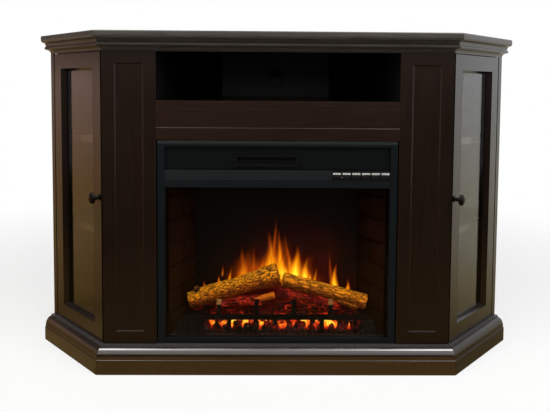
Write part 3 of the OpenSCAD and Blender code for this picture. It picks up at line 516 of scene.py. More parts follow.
upright, level, cantLeft, cantRight = (0, 90, 0), (0, 0, 0), (0, 0, 45), (0, 0, -45)
paintedSteel = {"spread": 0.18, "rough": 0.4, "bump": 0.3}
finish = {
    "upright": stainedWood("espressoUpright", upright),
    "column": stainedWood("espressoColumn", upright, "column", coat=0.25),
    "level": stainedWood("espressoLevel", level),
    "cantLeft": stainedWood("espressoCantLeft", cantLeft),
    "cantRight": stainedWood("espressoCantRight", cantRight),
    "baseLeft": stainedWood("espressoBaseLeft", cantLeft, coat=0.95),
    "baseRight": stainedWood("espressoBaseRight", cantRight, coat=0.5),
    "warmLevel": stainedWood("espressoWarmLevel", level, "warm", coat=0.4),
    "warmBase": stainedWood("espressoWarmBase", level, "warm", coat=1.0, coatIor=2.0),
    # crown mouldings: painted sheen, a lighter and greyer copy of the espresso
    "crownLevel": stainedWood("espressoCrown", level, "crown"),
    # top slab: painted sheen, a lighter and greyer copy of the espresso
    "slab": stainedWood("espressoSlabSheen", level, "slab", coat=0.38),
    "crownLeft": stainedWood("espressoCrownLeft", cantLeft, "crown", coat=0.38),
    "crownRight": stainedWood("espressoCrownRight", cantRight, "crown", coat=0.62),
    "bay": stainedWood("espressoBay", upright, "bay", coat=0.0, specular=0.1),
    "inner": stainedWood("espressoInner", upright, "inner", coat=0.0, specular=0.25),
    "innerLevel": stainedWood("espressoInnerLevel", (0, 0, 90), "inner", coat=0.0, specular=0.25),
    "doorGlass": clearGlass("doorGlass", (0.86, 0.88, 0.87, 1), 1.5),
    "fireGlass": clearGlass("fireGlass", (0.96, 0.96, 0.96, 1), 1.16),   # coated, it mirrors little
    "plated": speckled("platedSteel", linear(168, 168, 166), rough=0.3, metal=1.0, bump=0.05),
    "nylon": speckled("nylonBush", linear(214, 208, 194), rough=0.5, bump=0.05),
    "magnet": speckled("catchMagnet", linear(70, 70, 72), rough=0.35, metal=0.8, bump=0.05),
    "bead": speckled("glassBead", linear(24, 20, 18), rough=0.5, bump=0.1),
    "bronze": speckled("darkBronze", linear(26, 23, 21), scale=500, spread=0.5, rough=0.24, roughSpread=0.08,
                       metal=0.85, bump=0.08),
    # one steel for the whole trim: the uprights painted darker and bluer as painted shade, the top bar past
    # the change painted lighter as painted sheen
    "trimSteelShadeAndSheen": speckled("trimSteelShadeAndSheen", linear(10, 16, 19), **paintedSteel, specular=0.2,
                          change=("Z", 552, 557, linear(44, 48, 47))),
    "panelSteel": speckled("panelSteel", linear(20, 24, 26), **paintedSteel, specular=0.3,
                           change=("X", 130.6, 131.2, linear(7, 6, 6))),
    # lower rail: a darker copy of the same black steel, painted shade
    "railSteelShaded": speckled("railSteelShaded", linear(14, 18, 20), **paintedSteel, specular=0.15),
    "recess": speckled("recessSteel", linear(10, 12, 13), spread=0.18, rough=0.55, bump=0.3, specular=0.06),
    "outlet": speckled("outletPlastic", linear(11, 12, 12), rough=0.5, bump=0.2, specular=0.08),
    "caseSteel": speckled("caseSteel", linear(44, 46, 48), spread=0.2, rough=0.45, bump=0.2),
    "iron": speckled("grateIron", linear(5, 4, 4), scale=420, spread=0.6, rough=0.65, bump=0.6, depth=0.0006,
                     specular=0.12),
    "tip": speckled("grateTip", linear(168, 116, 62), scale=420, spread=0.9, rough=0.7, bump=0.5,
                    depth=0.0005, specular=0.2),
    "aluminium": speckled("brightAluminium", linear(200, 200, 198), rough=0.25, metal=1.0, bump=0.05),
    "circuit": speckled("circuitBoard", linear(28, 70, 44), scale=300, rough=0.45),
    "ceramic": speckled("heaterCeramic", linear(46, 44, 42), rough=0.6),
    "plastic": speckled("blackPlastic", linear(14, 14, 15), rough=0.4, bump=0.2),
    "button": speckled("buttonPlastic", linear(12, 12, 13), rough=0.34, bump=0.15),
    "mark": speckled("markPrint", linear(168, 168, 166), rough=0.5, bump=0.05),
    "brick": speckled("firedBrick", linear(36, 18, 6), scale=160, spread=1.1, rough=0.85, bump=0.7,
                      depth=0.001, specular=0.04),
    "mortar": speckled("darkMortar", linear(9, 5, 3), scale=300, spread=0.6, rough=0.9, bump=0.5,
                       depth=0.0006, specular=0.02),
    "gravel": speckled("darkGravel", linear(22, 12, 4), scale=260, spread=1.6, rough=0.85, bump=0.6,
                       depth=0.0008, specular=0.12),
}
print("plain finishes made:", len(finish))


# pieces that keep a node's shape, with eased edges:
# degrees up to which faces are merged, from which edges are eased, and up to which they are shaded smooth
easing = {"flat": 0.6, "corner": 32, "smooth": 40}


def repaint(node, material):
    cadNodes[node].data.materials.clear()
    cadNodes[node].data.materials.append(material)


def joinAll(objects, name):
    clearSelection()
    for item in objects:
        item.select_set(True)
    bpy.context.view_layer.objects.active = objects[0]
    bpy.ops.object.join()
    joined = bpy.context.object
    joined.name = name
    return joined


def handOver(piece, body, slot, *nodes):
    if nodes:
        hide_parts(*nodes)
    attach(piece, body)


def finishPiece(piece, body, slot, material, *nodes):
    pick(piece)
    applyPlace()
    piece.data.materials.clear()
    piece.data.materials.append(material)
    handOver(piece, body, slot, *nodes)


def selectFaces(piece, test):
    pick(piece)
    editMode()
    bpy.ops.mesh.select_mode(type="FACE")
    bpy.ops.mesh.select_all(action="DESELECT")
    objectMode()
    for face in piece.data.polygons:
        face.select = bool(test(face))


def addModifier(piece, kind, **values):
    pick(piece)
    modifier = piece.modifiers.new(kind.lower(), kind)
    for key, value in values.items():
        setattr(modifier, key, value)
    bpy.ops.object.modifier_apply(modifier=modifier.name)


def smoothByAngle():
    bpy.ops.object.shade_smooth_by_angle(angle=math.radians(easing["smooth"]))


def copyNode(node, name, weld=0.00001, inside=False):
    # a new object with the node's mesh, its loose triangles merged, left in edit mode with all selected
    piece = bpy.data.objects.new(name, cadNodes[node].data.copy())
    bpy.context.scene.collection.objects.link(piece)
    piece.data.materials.clear()
    pick(piece)
    editMode()
    bpy.ops.mesh.select_all(action="SELECT")
    bpy.ops.mesh.remove_doubles(threshold=weld)
    if inside:
        # faces between joined boards
        bpy.ops.mesh.select_mode(type="FACE")
        bpy.ops.mesh.select_all(action="DESELECT")
        bpy.ops.mesh.select_interior_faces()
        bpy.ops.mesh.delete(type="FACE")
        bpy.ops.mesh.select_all(action="SELECT")
    return piece


def dressNode(node, name, body, slot, finishes, ease, **merge):
    # a merged copy of the node with its sharp edges eased by so many mm
    piece = copyNode(node, name, **merge)
    for item in finishes:
        piece.data.materials.append(finish[item])
    bpy.ops.mesh.dissolve_limited(angle_limit=math.radians(easing["flat"]))
    addModifier(piece, "BEVEL", limit_method="ANGLE", angle_limit=math.radians(easing["corner"]),
                width=ease * mm, segments=2, use_clamp_overlap=True)
    smoothByAngle()
    addModifier(piece, "WEIGHTED_NORMAL", keep_sharp=True, weight=100)
    handOver(piece, body, slot, node)
    return piece


# node: (piece, body, slot, finish, eased edge in mm)
dressed = {
    "top_panel": ("topPanel", "cabinet", "espresso_wood", "slab", 1.3),
    "crown_front": ("crownFront", "cabinet", "espresso_wood", "crownLevel", 0.3),
    "crown_left": ("crownLeft", "cabinet", "espresso_wood", "crownLeft", 0.3),
    "crown_right": ("crownRight", "cabinet", "espresso_wood", "crownRight", 0.3),
    "base_front": ("baseFront", "cabinet", "espresso_wood", "warmBase", 0.6),
    "base_left": ("baseLeft", "cabinet", "espresso_wood", "baseLeft", 0.5),
    "base_right": ("baseRight", "cabinet", "espresso_wood", "baseRight", 0.5),
    "column_left": ("columnLeft", "cabinet", "espresso_wood", "column", 0.7),
    "column_right": ("columnRight", "cabinet", "espresso_wood", "column", 0.7),
    "side_panel_left": ("sidePanelLeft", "cabinet", "espresso_wood", "upright", 0.6),
    "side_panel_right": ("sidePanelRight", "cabinet", "espresso_wood", "upright", 0.6),
    "media_shelf": ("mediaShelf", "cabinet", "espresso_wood", "warmLevel", 0.5),
    "header_rail": ("headerRail", "cabinet", "espresso_wood", "warmLevel", 0.25),
    "header_trim": ("headerTrim", "cabinet", "espresso_wood", "warmLevel", 0.28),
    "door_left_knob": ("knobLeft", "door_left", "bronze", "bronze", 0.2),
    "door_right_knob": ("knobRight", "door_right", "bronze", "bronze", 0.2),
    "trim_frame": ("insertTrim", "cabinet", "black_steel", "trimSteelShadeAndSheen", 0.5),
    "control_panel": ("controlPanel", "cabinet", "black_steel", "panelSteel", 0.35),
    "lower_rail": ("lowerRail", "cabinet", "black_steel", "railSteelShaded", 0.5),
    "upper_panel": ("upperPanel", "cabinet", "black_steel", "recess", 0.3),
    "heater_grille": ("outletBezel", "cabinet", "black_steel", "outlet", 0.3),
}
for number in ("1", "2", "3", "4", "5", "6"):
    dressed["button_" + number] = ("pushButton" + number, "push_" + number, "black_plastic", "button", 0.4)

for nodeName, (pieceName, bodyName, slotName, finishName, easeWidth) in dressed.items():
    dressNode(nodeName, pieceName, bodyName, slotName, [finishName], easeWidth)
print("eased pieces made:", len(dressed))


# printed marks over the buttons, plain dashes, and a small indicator lens
marks = {
    "low": 480.6, "high": 485.2, "proud": 0.12, "ease": 0.05,
    "buttonX": (142.5, 165.9, 189.3, 212.7, 236.1, 259.5),
    "dashes": ((-9.6, -4.6), (-4.0, 2.2), (2.8, 9.4)),    # from the middle of the button, mm
    "lens": (154.2, 474.0), "lensRadius": 1.1, "lensFlat": 0.35,
}


def addBlock(middle, size, turn=0.0):
    # a box in mm, turned about Z, to shape further
    clearSelection()
    bpy.ops.mesh.primitive_cube_add(size=1, location=Vector(middle) * mm, rotation=(0, 0, turn))
    block = bpy.context.object
    block.scale = Vector(size) * mm
    applyPlace()
    return block


def makeMarks(s, faceY):
    dashes = []
    for x in s["buttonX"]:
        for start, end in s["dashes"]:
            middle = (x + (start + end) / 2, faceY / mm - s["proud"] / 2, (s["low"] + s["high"]) / 2)
            dashes.append(addBlock(middle, (end - start, s["proud"], s["high"] - s["low"])))
    piece = joinAll(dashes, "buttonMarks")
    addModifier(piece, "BEVEL", width=s["ease"] * mm, segments=2)
    finishPiece(piece, "cabinet", "black_plastic", finish["mark"])


def makeLens(s, faceY):
    clearSelection()
    x, z = s["lens"]
    bpy.ops.mesh.primitive_uv_sphere_add(segments=24, ring_count=12, radius=s["lensRadius"] * mm,
                                         location=(x * mm, faceY, z * mm))
    lens = bpy.context.object
    lens.name = "indicatorLens"
    lens.scale = (1, s["lensFlat"], 1)
    applyPlace()
    bpy.ops.object.shade_smooth()
    finishPiece(lens, "cabinet", "black_plastic", finish["mark"])


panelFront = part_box("control_panel")[0][1]
makeMarks(marks, panelFront)
makeLens(marks, panelFront)


# doors, the grain of the rails across, between the stiles
doors = {
    "ease": 0.6, "weld": 0.22,              # mm
    "corner": (420.0, -284.5),              # x and y of the front corner that the stiles start from
    "rails": (49.0, 202.4),                 # their span along the cant
    "middle": 419.5, "opening": 308.5,      # height of the door's middle, and from there to the rails
}


def makeDoor(side, s):
    door = dressNode("door_%s_frame" % side, "door%sFrame" % side.title(), "door_" + side, "espresso_wood",
                     ["upright", "cant" + side.title()], s["ease"], weld=s["weld"] * mm, inside=True)
    for face in door.data.polygons:
        x, y, z = face.center / mm
        along = (abs(x) - s["corner"][0] + y - s["corner"][1]) / math.sqrt(2)
        onRail = s["rails"][0] < along < s["rails"][1] and abs(z - s["middle"]) > s["opening"]
        face.material_index = int(onRail)


makeDoor("left", doors)
makeDoor("right", doors)

# cast grate, the two outer tips pale tan
grateTips = {"low": 154.6, "outer": 100.0}
grate = dressNode("grate", "fireGrate", "cabinet", "grate_iron", ["iron", "tip"], 1.1)
for face in grate.data.polygons:
    x, y, z = face.center / mm
    face.material_index = int(z > grateTips["low"] and abs(x) > grateTips["outer"])

# node: finish, for nodes whose shape is right as it is
repainted = {
    "top_rails": "level", "corner_posts": "inner", "divider_left": "bay", "divider_right": "bay",
    "back_panel": "inner", "floor_panel": "innerLevel", "plinth_frame": "innerLevel",
    "cabinet_shelves": "level", "shelf_pins": "plated", "pivot_bushes": "nylon", "door_catches": "magnet",
    "door_left_glass": "doorGlass", "door_right_glass": "doorGlass",
    "door_left_beads": "bead", "door_right_beads": "bead",
    "door_left_fittings": "plated", "door_right_fittings": "plated",
    "insert_case": "caseSteel", "front_glass": "fireGlass", "brick_liners": "mortar",
    "flicker_spindle": "aluminium", "flicker_motor": "caseSteel", "led_strip": "circuit",
    "blower_wheel": "caseSteel", "blower_housing": "plated", "heater_element": "ceramic",
    "power_inlet": "plastic",
}
for nodeName, finishName in repainted.items():
    repaint(nodeName, finish[finishName])
print("repainted nodes:", len(repainted))


# firebox: brick courses on the splayed liners
bricks = {
    "joints": (78, 135, 192, 249, 306, 363, 420),  # heights of the level joints, mm
    "low": 66.9, "high": 451.6,
    "split": 0.55,          # where every other course has an upright joint, from mouth to screen
    "gap": 3.6, "proud": 1.4, "ease": 1.1,
    "mouth": (264.7, -270.2), "rear": (211.4, -173.4),
}


def brickSpans(s):
    # pairs of height and reach along the liner, a brick each
    edges = [s["low"]] + list(s["joints"]) + [s["high"]]
    for row, (low, high) in enumerate(zip(edges, edges[1:])):
        parts = (0, s["split"], 1) if row % 2 == 0 else (0, 1)
        for near, far in zip(parts, parts[1:]):
            yield low, high, near, far


def makeBricks(name, sign, s):
    mouth = Vector((s["mouth"][0] * sign, s["mouth"][1], 0))
    rear = Vector((s["rear"][0] * sign, s["rear"][1], 0))
    along = rear - mouth
    made = []
    for low, high, near, far in brickSpans(s):
        middle = mouth + along * (near + far) / 2
        middle.z = (low + high) / 2
        size = (along.length * (far - near) - s["gap"], 2 * s["proud"], high - low - s["gap"])
        made.append(addBlock(middle, size, math.atan2(along.y, along.x)))
        editMode()
        bpy.ops.mesh.select_all(action="SELECT")
        bpy.ops.mesh.bevel(offset=s["ease"] * mm, segments=2, affect="EDGES")
        objectMode()
    piece = joinAll(made, name)
    smoothByAngle()
    finishPiece(piece, "cabinet", "brick_board", finish["brick"])


makeBricks("bricksLeft", -1, bricks)
makeBricks("bricksRight", 1, bricks)
print("brick courses laid")


# screen that the flames play on
screenGlow = {
    "middle": (0.04, -0.1725, 0.17), "reach": (0.24, 1.0, 0.22),    # metres
    "smoke": 16.0, "heat": 0.3, "strength": 0.8,
}


def glowingScreen(s):
    material, tree, shader = newMaterial("flameScreen")
    place = coordinates(tree)["Object"]
    ball = addNode(tree, "ShaderNodeTexGradient", gradient_type="QUADRATIC_SPHERE")
    setInputs(ball, Vector=mapped(place, "TEXTURE", Location=s["middle"], Scale=s["reach"]))
    # the screen's glow in soft patches
    patch = ranged(noise(place, s["smoke"], 3.0), 0.3, 0.7, 0.35, 1.2)
    heat = times(ball.outputs["Fac"], patch, s["heat"])
    speck = useGroup(tree, speckGroup, Vector=place, Colour=linear(9, 4, 3), Scale=300, Spread=0.3,
                     Rough=0.4, Rough_Spread=0.1)
    glow = useGroup(tree, emberGroup, Heat=heat)["Colour"]
    setInputs(shader, Base_Color=speck["Colour"], Roughness=speck["Roughness"], Specular_IOR_Level=0.2,
              Emission_Color=glow, Emission_Strength=s["strength"])
    return material


repaint("flame_screen", glowingScreen(screenGlow))


# flames, thin tapered sheets just in front of the screen,
# each: foot x, foot z, tip z, width, lean of the tip, heat at the foot, cover 0 to 1
flames = [
    (-60, 165, 290, 190, 10, 0.56, 0.62), (4, 180, 320, 170, -8, 0.68, 0.66),
    (70, 165, 272, 150, 6, 0.60, 0.50), (-189, 152, 190, 16, 4, 0.84, 0.95),
    (-151, 165, 208, 14, 3, 0.80, 0.90), (-141, 196, 237, 10, 5, 0.58, 0.60),
    (-121, 170, 229, 15, 4, 0.86, 0.85), (-88, 172, 290, 46, 6, 0.72, 0.85),
    (-58, 176, 318, 20, -6, 0.50, 0.50), (-38, 186, 272, 34, 6, 0.72, 0.75),
    (-16, 190, 335, 48, -4, 0.86, 0.90), (-6, 250, 388, 16, 7, 0.48, 0.60),
    (8, 188, 345, 30, 2, 0.84, 0.85), (20, 188, 266, 46, -3, 1.00, 1.00),
    (36, 196, 326, 26, -16, 0.62, 0.75), (54, 180, 292, 54, -8, 1.00, 1.00),
    (76, 178, 264, 32, 6, 0.98, 1.00), (87, 176, 224, 14, 2, 0.84, 0.80),
    (100, 172, 232, 15, 7, 0.80, 0.80), (143, 176, 300, 16, -6, 0.46, 0.55),
    (153, 150, 246, 31, 2, 1.00, 1.00), (184, 138, 200, 25, 6, 0.92, 1.00),
]
flameShape = {
    "columns": 8, "rows": 26,
    "front": -173.2, "step": 0.12,       # y of the first sheet, and of each next one before it, mm
    "sway": 0.13, "strength": 1.65,
}


def flameMaterial(s):
    material, tree, shader = newMaterial("flameLight")
    place = coordinates(tree)
    sheet = axes(place["UV"])
    cover = addNode(tree, "ShaderNodeAttribute", attribute_name="cover").outputs["Fac"]
    footHeat = addNode(tree, "ShaderNodeAttribute", attribute_name="footHeat").outputs["Fac"]
    side = maths("PINGPONG", sheet["X"], 0.5)    # 0 at both sides of the sheet, 0.5 along its middle
    lick = noise(mapped(place["Object"], Scale=(1.0, 1.0, 0.2)), 75.0, 2.0, Distortion=0.4)
    body = times(ranged(side, 0.0, 0.5, smooth=True), ranged(sheet["Y"], 1.0, 0.2, smooth=True),
                 ranged(lick, 0.32, 0.6, 0.55, 1.1))
    # hottest low down and in the middle
    warm = times(ranged(sheet["Y"], 0.15, 0.95, 1.0, 0.3), ranged(side, 0.0, 0.5, 0.6, 1.05))
    heat = maths("MULTIPLY", warm, footHeat, clamp=True)
    glow = useGroup(tree, flameGroup, Heat=heat)["Colour"]
    setInputs(shader, Base_Color=(0, 0, 0, 1), Roughness=1.0, Specular_IOR_Level=0.0,
              Alpha=maths("MULTIPLY", body, cover, clamp=True), Emission_Color=glow,
              Emission_Strength=s["strength"])
    return material


def flameWidth(rise):
    # belly low down, then a long taper
    return (0.7 + 1.2 * rise) if rise < 0.25 else max(0.04, 1 - ((rise - 0.25) / 0.75) ** 0.85)


def makeFlame(name, order, values, shape, draw):
    footX, footZ, tipZ, width, lean, heat, cover = values
    clearSelection()
    bpy.ops.mesh.primitive_grid_add(x_subdivisions=shape["columns"], y_subdivisions=shape["rows"], size=1,
                                    location=(0, 0, 0))
    flame = bpy.context.object
    flame.name = name
    wave, swing = draw.uniform(0, 6.28), draw.uniform(0.8, 1.3)
    y = shape["front"] - shape["step"] * order
    for vertex in flame.data.vertices:
        across, rise = vertex.co.x, vertex.co.y + 0.5
        bend = math.sin(wave + rise * 5.2 * swing) * shape["sway"] * width * (0.2 + rise)
        x = footX + across * width * flameWidth(rise) + bend + lean * rise ** 1.6
        vertex.co = Vector((x, y, footZ + rise * (tipZ - footZ))) * mm
    # what the shader reads: heat at the foot, and how much of the screen it covers
    for label, value in (("footHeat", heat), ("cover", cover)):
        layer = flame.data.attributes.new(label, "FLOAT", "POINT")
        layer.data.foreach_set("value", [value] * len(flame.data.vertices))
    return flame


flameFinish = flameMaterial(flameShape)
draw = random.Random(7)
for order, values in enumerate(flames):
    sheet = makeFlame("flame%02d" % (order + 1), order, values, flameShape, draw)
    finishPiece(sheet, "cabinet", "screen_acrylic", flameFinish)
print("flames set:", len(flames))


# logs of moulded resin, built up by extruding and then given bark
logTones = {
    # light, middle and crack colours, and how deep the splits read
    "gold": (linear(255, 168, 20), linear(166, 78, 8), linear(52, 20, 4), 0.85),
    "tan": (linear(255, 158, 22), linear(160, 80, 10), linear(46, 18, 4), 0.6),
    "peeled": (linear(112, 64, 30), linear(70, 38, 18), linear(40, 20, 10), 0.6),
    "split": (linear(222, 118, 20), linear(170, 82, 12), linear(100, 42, 8), 0.1),
    "char": (linear(90, 40, 34), linear(26, 9, 7), linear(9, 4, 3), 1.0),
    "ember": (linear(150, 34, 24), linear(64, 9, 6), linear(18, 4, 3), 0.9),
}
logLight = {"inner": 0.3, "cracks": 1.3}    # strength of the painted light on plain resin, and in glowing cracks


def barkMaterial(name, tone, slope, glow, scale):
    # slope turns the bark's length to lie along the log
    light, mid, crack, depth = logTones[tone]
    material, tree, shader = newMaterial(name)
    place = coordinates(tree)
    upward = axes(place["Normal"])["Z"]
    along = mapped(place["Object"], Rotation=(0, math.radians(slope), 0))
    # painted light from above: upper faces lighter, undersides darker, by the height of the normal
    bark = useGroup(tree, barkGroup, Vector=along, Light=light, Mid=mid, Crack=crack, Scale=scale,
                    Split=depth, Top=ranged(upward, -0.45, 0.55, -1.75, -0.7))
    setInputs(shader, Base_Color=bark["Colour"], Roughness=ranged(bark["Cracks"], 0.0, 1.0, 0.9, 0.66),
              Specular_IOR_Level=0.12, Normal=bumped(bark["Height"], 0.7, 0.0022))
    if glow:
        # heat shows in the cracks, in patches
        patch = noise(place["Object"], 34.0, 2.0)
        heat = times(ranged(patch, 0.42, 0.62, glow * 0.3, glow), ranged(bark["Cracks"], 0.75, 0.0))
        setInputs(shader, Emission_Color=useGroup(tree, emberGroup, Heat=heat)["Colour"],
                  Emission_Strength=logLight["cracks"])
    else:
        # painted light: the pale resin glows a little on its upper faces and not underneath
        setInputs(shader, Emission_Color=scaled(bark["Colour"], ranged(upward, -0.5, 0.25)),
                  Emission_Strength=logLight["inner"])
    return material


# ends and radii in mm, tone, heat in the cracks, depth of the bark and size of its plates, lengths drawn out
logs = {
    "logLeft": {"ends": ((-221, -222.5, 149.5), (8, -222.5, 219)), "radii": (20, 30), "tone": "gold",
                "depth": 3.6, "plate": 7, "steps": 15, "grain": 190.0},
    "logRight": {"ends": ((14, -228.5, 206.5), (226, -228.5, 146.5)), "radii": (18.5, 16.0), "tone": "tan",
                 "depth": 2.6, "plate": 11, "steps": 13},
    "logStub": {"ends": ((-190, -218.5, 153.5), (-203, -228.5, 185.5)), "radii": (10, 6), "tone": "peeled",
                "depth": 1.6, "plate": 6, "steps": 4},
    "logFork": {"ends": ((150, -230.5, 160.5), (204, -234.5, 137.5)), "radii": (11, 9), "tone": "tan",
                "depth": 1.8, "plate": 7, "steps": 5},
    "charLeft": {"ends": ((-214, -216.5, 135.3), (-12, -212.5, 135.3)), "radii": (12, 12), "tone": "char",
                 "glow": 0.38, "depth": 3.4, "plate": 8, "steps": 12},
    "charRight": {"ends": ((-4, -212.5, 135.3), (200, -222.5, 135.3)), "radii": (12, 12), "tone": "char",
                  "glow": 0.5, "depth": 3.4, "plate": 8, "steps": 12},
    "splitChunk": {"ends": ((-56, -236.5, 155.5), (-4, -230.5, 167.5)), "radii": (9, 14), "tone": "split",
                   "depth": 1.2, "plate": 9, "steps": 3, "sides": 6},
    "emberRight": {"ends": ((0, -222.5, 177.5), (132, -224.5, 141.5)), "radii": (18, 14), "tone": "ember",
                   "glow": 0.62, "depth": 4.0, "plate": 10, "steps": 9, "grain": 150.0},
    "emberLeft": {"ends": ((-140, -226.5, 147), (-36, -228.5, 156)), "radii": (13, 15), "tone": "ember",
                  "glow": 0.6, "depth": 3.6, "plate": 9, "steps": 7, "grain": 150.0},
}
logShape = {
    "sides": 18, "fill": 1.07, "squeeze": 0.4, "wobble": 0.06, "drift": 0.9, "levels": 2,
    "rim": (0.12, 0.35), "sunk": 0.6,      # of the cut ends: insets by radius, and depth in mm
    "lumps": (2.2, 0.6),                   # size and depth, by those of the bark's plates
    "fineBark": (0.22, 0.9),               # size by that of the plates, and depth in mm
    "grain": 95.0,
}


def displace(piece, kind, size, depth, **values):
    texture = bpy.data.textures.new(piece.name + kind.title(), kind)
    texture.noise_scale = size * mm
    for key, value in values.items():
        setattr(texture, key, value)
    addModifier(piece, "DISPLACE", texture=texture, strength=depth * mm, mid_level=0.45,
                texture_coords="LOCAL")


def makeLog(name, s, shape, draw):
    start, end = (Vector(point) * mm for point in s["ends"])
    length = (end - start).length
    step = length * shape["squeeze"] / s["steps"]
    first, last = (r * mm * shape["fill"] for r in s["radii"])
    clearSelection()
    bpy.ops.mesh.primitive_cylinder_add(vertices=s.get("sides", shape["sides"]), radius=first, depth=step,
                                        location=(step / 2, 0, 0), rotation=(0, math.pi / 2, 0))
    log = bpy.context.object
    log.name = name
    applyPlace()
    # the far end is drawn out a length at a time, swelling and drifting as a branch does
    for count in range(1, s["steps"]):
        selectFaces(log, lambda face: face.normal.x > 0.9 and face.center.x > step * (count - 0.5))
        editMode()
        grown = first + (last - first) * count / s["steps"]
        before = first + (last - first) * (count - 1) / s["steps"]
        swell = grown / before * (1 + draw.uniform(-1, 1) * shape["wobble"] * (-1) ** count)
        move = (step, draw.uniform(-1, 1) * shape["drift"] * mm, draw.uniform(-1, 1) * shape["drift"] * mm)
        bpy.ops.mesh.extrude_region_move(TRANSFORM_OT_translate={"value": move})
        bpy.ops.transform.resize(value=(1, swell, swell), center_override=(step * (count + 1), 0, 0))
        objectMode()
    # both cut ends get a rim
    selectFaces(log, lambda face: abs(face.normal.x) > 0.9)
    editMode()
    narrow, wide = (min(first, last) * share for share in shape["rim"])
    bpy.ops.mesh.inset(thickness=narrow, use_individual=True)
    bpy.ops.mesh.inset(thickness=wide, depth=-shape["sunk"] * mm, use_individual=True)
    bpy.ops.mesh.select_all(action="SELECT")
    bpy.ops.mesh.normals_make_consistent(inside=False)
    objectMode()
    # plates and lumps of bark, then its fine relief
    lumpSize, lumpDepth = shape["lumps"]
    fineSize, fineDepth = shape["fineBark"]
    addModifier(log, "SUBSURF", levels=shape["levels"], render_levels=shape["levels"])
    displace(log, "VORONOI", s["plate"], s["depth"], weight_1=-1.0, weight_2=1.0)
    displace(log, "CLOUDS", s["plate"] * lumpSize, s["depth"] * lumpDepth)
    addModifier(log, "SUBSURF", levels=1, render_levels=1)
    displace(log, "CLOUDS", s["plate"] * fineSize, fineDepth)
    # drawn out to its full length, and laid in its place
    editMode()
    bpy.ops.mesh.select_all(action="SELECT")
    bpy.ops.transform.resize(value=(1 / shape["squeeze"], 1, 1), center_override=(0, 0, 0))
    objectMode()
    bpy.ops.object.shade_smooth()
    direction = end - start
    log.rotation_euler = (0, -math.asin(direction.z / length), math.atan2(direction.y, direction.x))
    log.location = start
    slope = math.degrees(math.atan2(direction.z, direction.x))
    bark = barkMaterial(name + "Bark", s["tone"], slope, s.get("glow", 0.0), s.get("grain", shape["grain"]))
    finishPiece(log, "cabinet", "log_resin", bark, "log_set")


draw = random.Random(21)
for logName, logSettings in logs.items():
    makeLog(logName, logSettings, logShape, draw)
print("logs made:", len(logs))


# ember bed, coals and gravel
embers = {
    "voxel": 2.6, "lump": 9.0, "depth": 2.6,
    "shaped": (-268.5, 76.5),        # lumps start behind this y and above this height
    "foot": (80, 101),               # heights between which the bank comes to its full glow, mm
    "crest": (107, 113),             # heights between which it dulls again
    "middle": 15, "reach": (160, 205),   # x about which it lies, and distances over which it dies away
    "topGlow": 0.22,
}
# dark and ashen colours, spans of heat in patches and in seams, strength
emberTones = {
    "glowingBed": (linear(17, 9, 5), linear(44, 25, 16), (0.5, 1.15), (0.72, 1.0), 1.45),
    "glowingCoal": (linear(8, 5, 4), linear(96, 60, 52), (0.0, 0.75), (0.0, 1.0), 1.2),
    "darkMound": (linear(7, 4, 3), linear(60, 32, 26), (-0.3, 0.36), (0.0, 1.0), 1.0),
}


def emberMaterial(name, s, dark, ash, glow, veins, strength):
    # the glow comes up with height on the bank, dulls over its crest and dies away to both sides
    material, tree, shader = newMaterial(name)
    place = coordinates(tree)["Object"]
    split = axes(place)
    edge = cells(place, 90.0)
    ashen = ranged(noise(place, 170.0, 4.0, Roughness=0.7), 0.55, 0.72)
    foot, crest, reach = ([value * mm for value in s[key]] for key in ("foot", "crest", "reach"))
    outward = maths("ABSOLUTE", maths("SUBTRACT", split["X"], s["middle"] * mm))
    where = times(ranged(split["Z"], *foot, smooth=True),
                  ranged(split["Z"], *crest, 1.0, s["topGlow"], smooth=True),
                  ranged(outward, reach[1], reach[0], smooth=True))
    live = times(ranged(noise(place, 36.0, 2.0), 0.36, 0.6, *glow), ranged(edge, 0.3, 0.0, *veins))
    heat = maths("MULTIPLY", where, live, clamp=True)
    setInputs(shader, Base_Color=blended(ashen, dark, ash), Roughness=0.85, Specular_IOR_Level=0.25,
              Normal=bumped(edge, 0.6, 0.002),
              Emission_Color=useGroup(tree, emberGroup, Heat=heat)["Colour"], Emission_Strength=strength)
    return material


def makeBed(s):
    bed = copyNode("ember_bed", "emberBed")
    addModifier(bed, "REMESH", mode="VOXEL", voxel_size=s["voxel"] * mm)
    mouthY, lowZ = (value * mm for value in s["shaped"])
    inner = bed.vertex_groups.new(name="top")
    inner.add([v.index for v in bed.data.vertices if v.co.z > lowZ and v.co.y > mouthY], 1.0, "REPLACE")
    texture = bpy.data.textures.new("bedLumps", "VORONOI")
    texture.noise_scale = s["lump"] * mm
    addModifier(bed, "DISPLACE", texture=texture, strength=s["depth"] * mm, mid_level=0.5,
                texture_coords="LOCAL", vertex_group="top")
    bpy.ops.object.shade_smooth()
    finishPiece(bed, "cabinet", "ember_resin", emberFinish["glowingBed"], "ember_bed")


def scatter(name, base, places, material):
    # copies of one small shape, each with its own mesh, made one piece
    copies = []
    for place, size, turn in places:
        one = bpy.data.objects.new(name + "Bit", base.data.copy())
        bpy.context.scene.collection.objects.link(one)
        one.location, one.scale, one.rotation_euler = place, size, turn
        copies.append(one)
    clearSelection()
    for one in copies:
        one.select_set(True)
    bpy.context.view_layer.objects.active = copies[0]
    applyPlace()
    finishPiece(joinAll(copies, name), "cabinet", "ember_resin", material)


def makeLump(detail, depth, size):
    clearSelection()
    bpy.ops.mesh.primitive_ico_sphere_add(subdivisions=detail, radius=1.0)
    lump = bpy.context.object
    texture = bpy.data.textures.new("lumpFaces", "VORONOI")
    texture.noise_scale = size
    addModifier(lump, "DISPLACE", texture=texture, strength=depth, mid_level=0.5, texture_coords="LOCAL")
    return lump


# top of the bed from its mouth inwards, y and height in mm
bank = ((-250.5, 82.0), (-238.5, 103.5), (-218.5, 115.5))


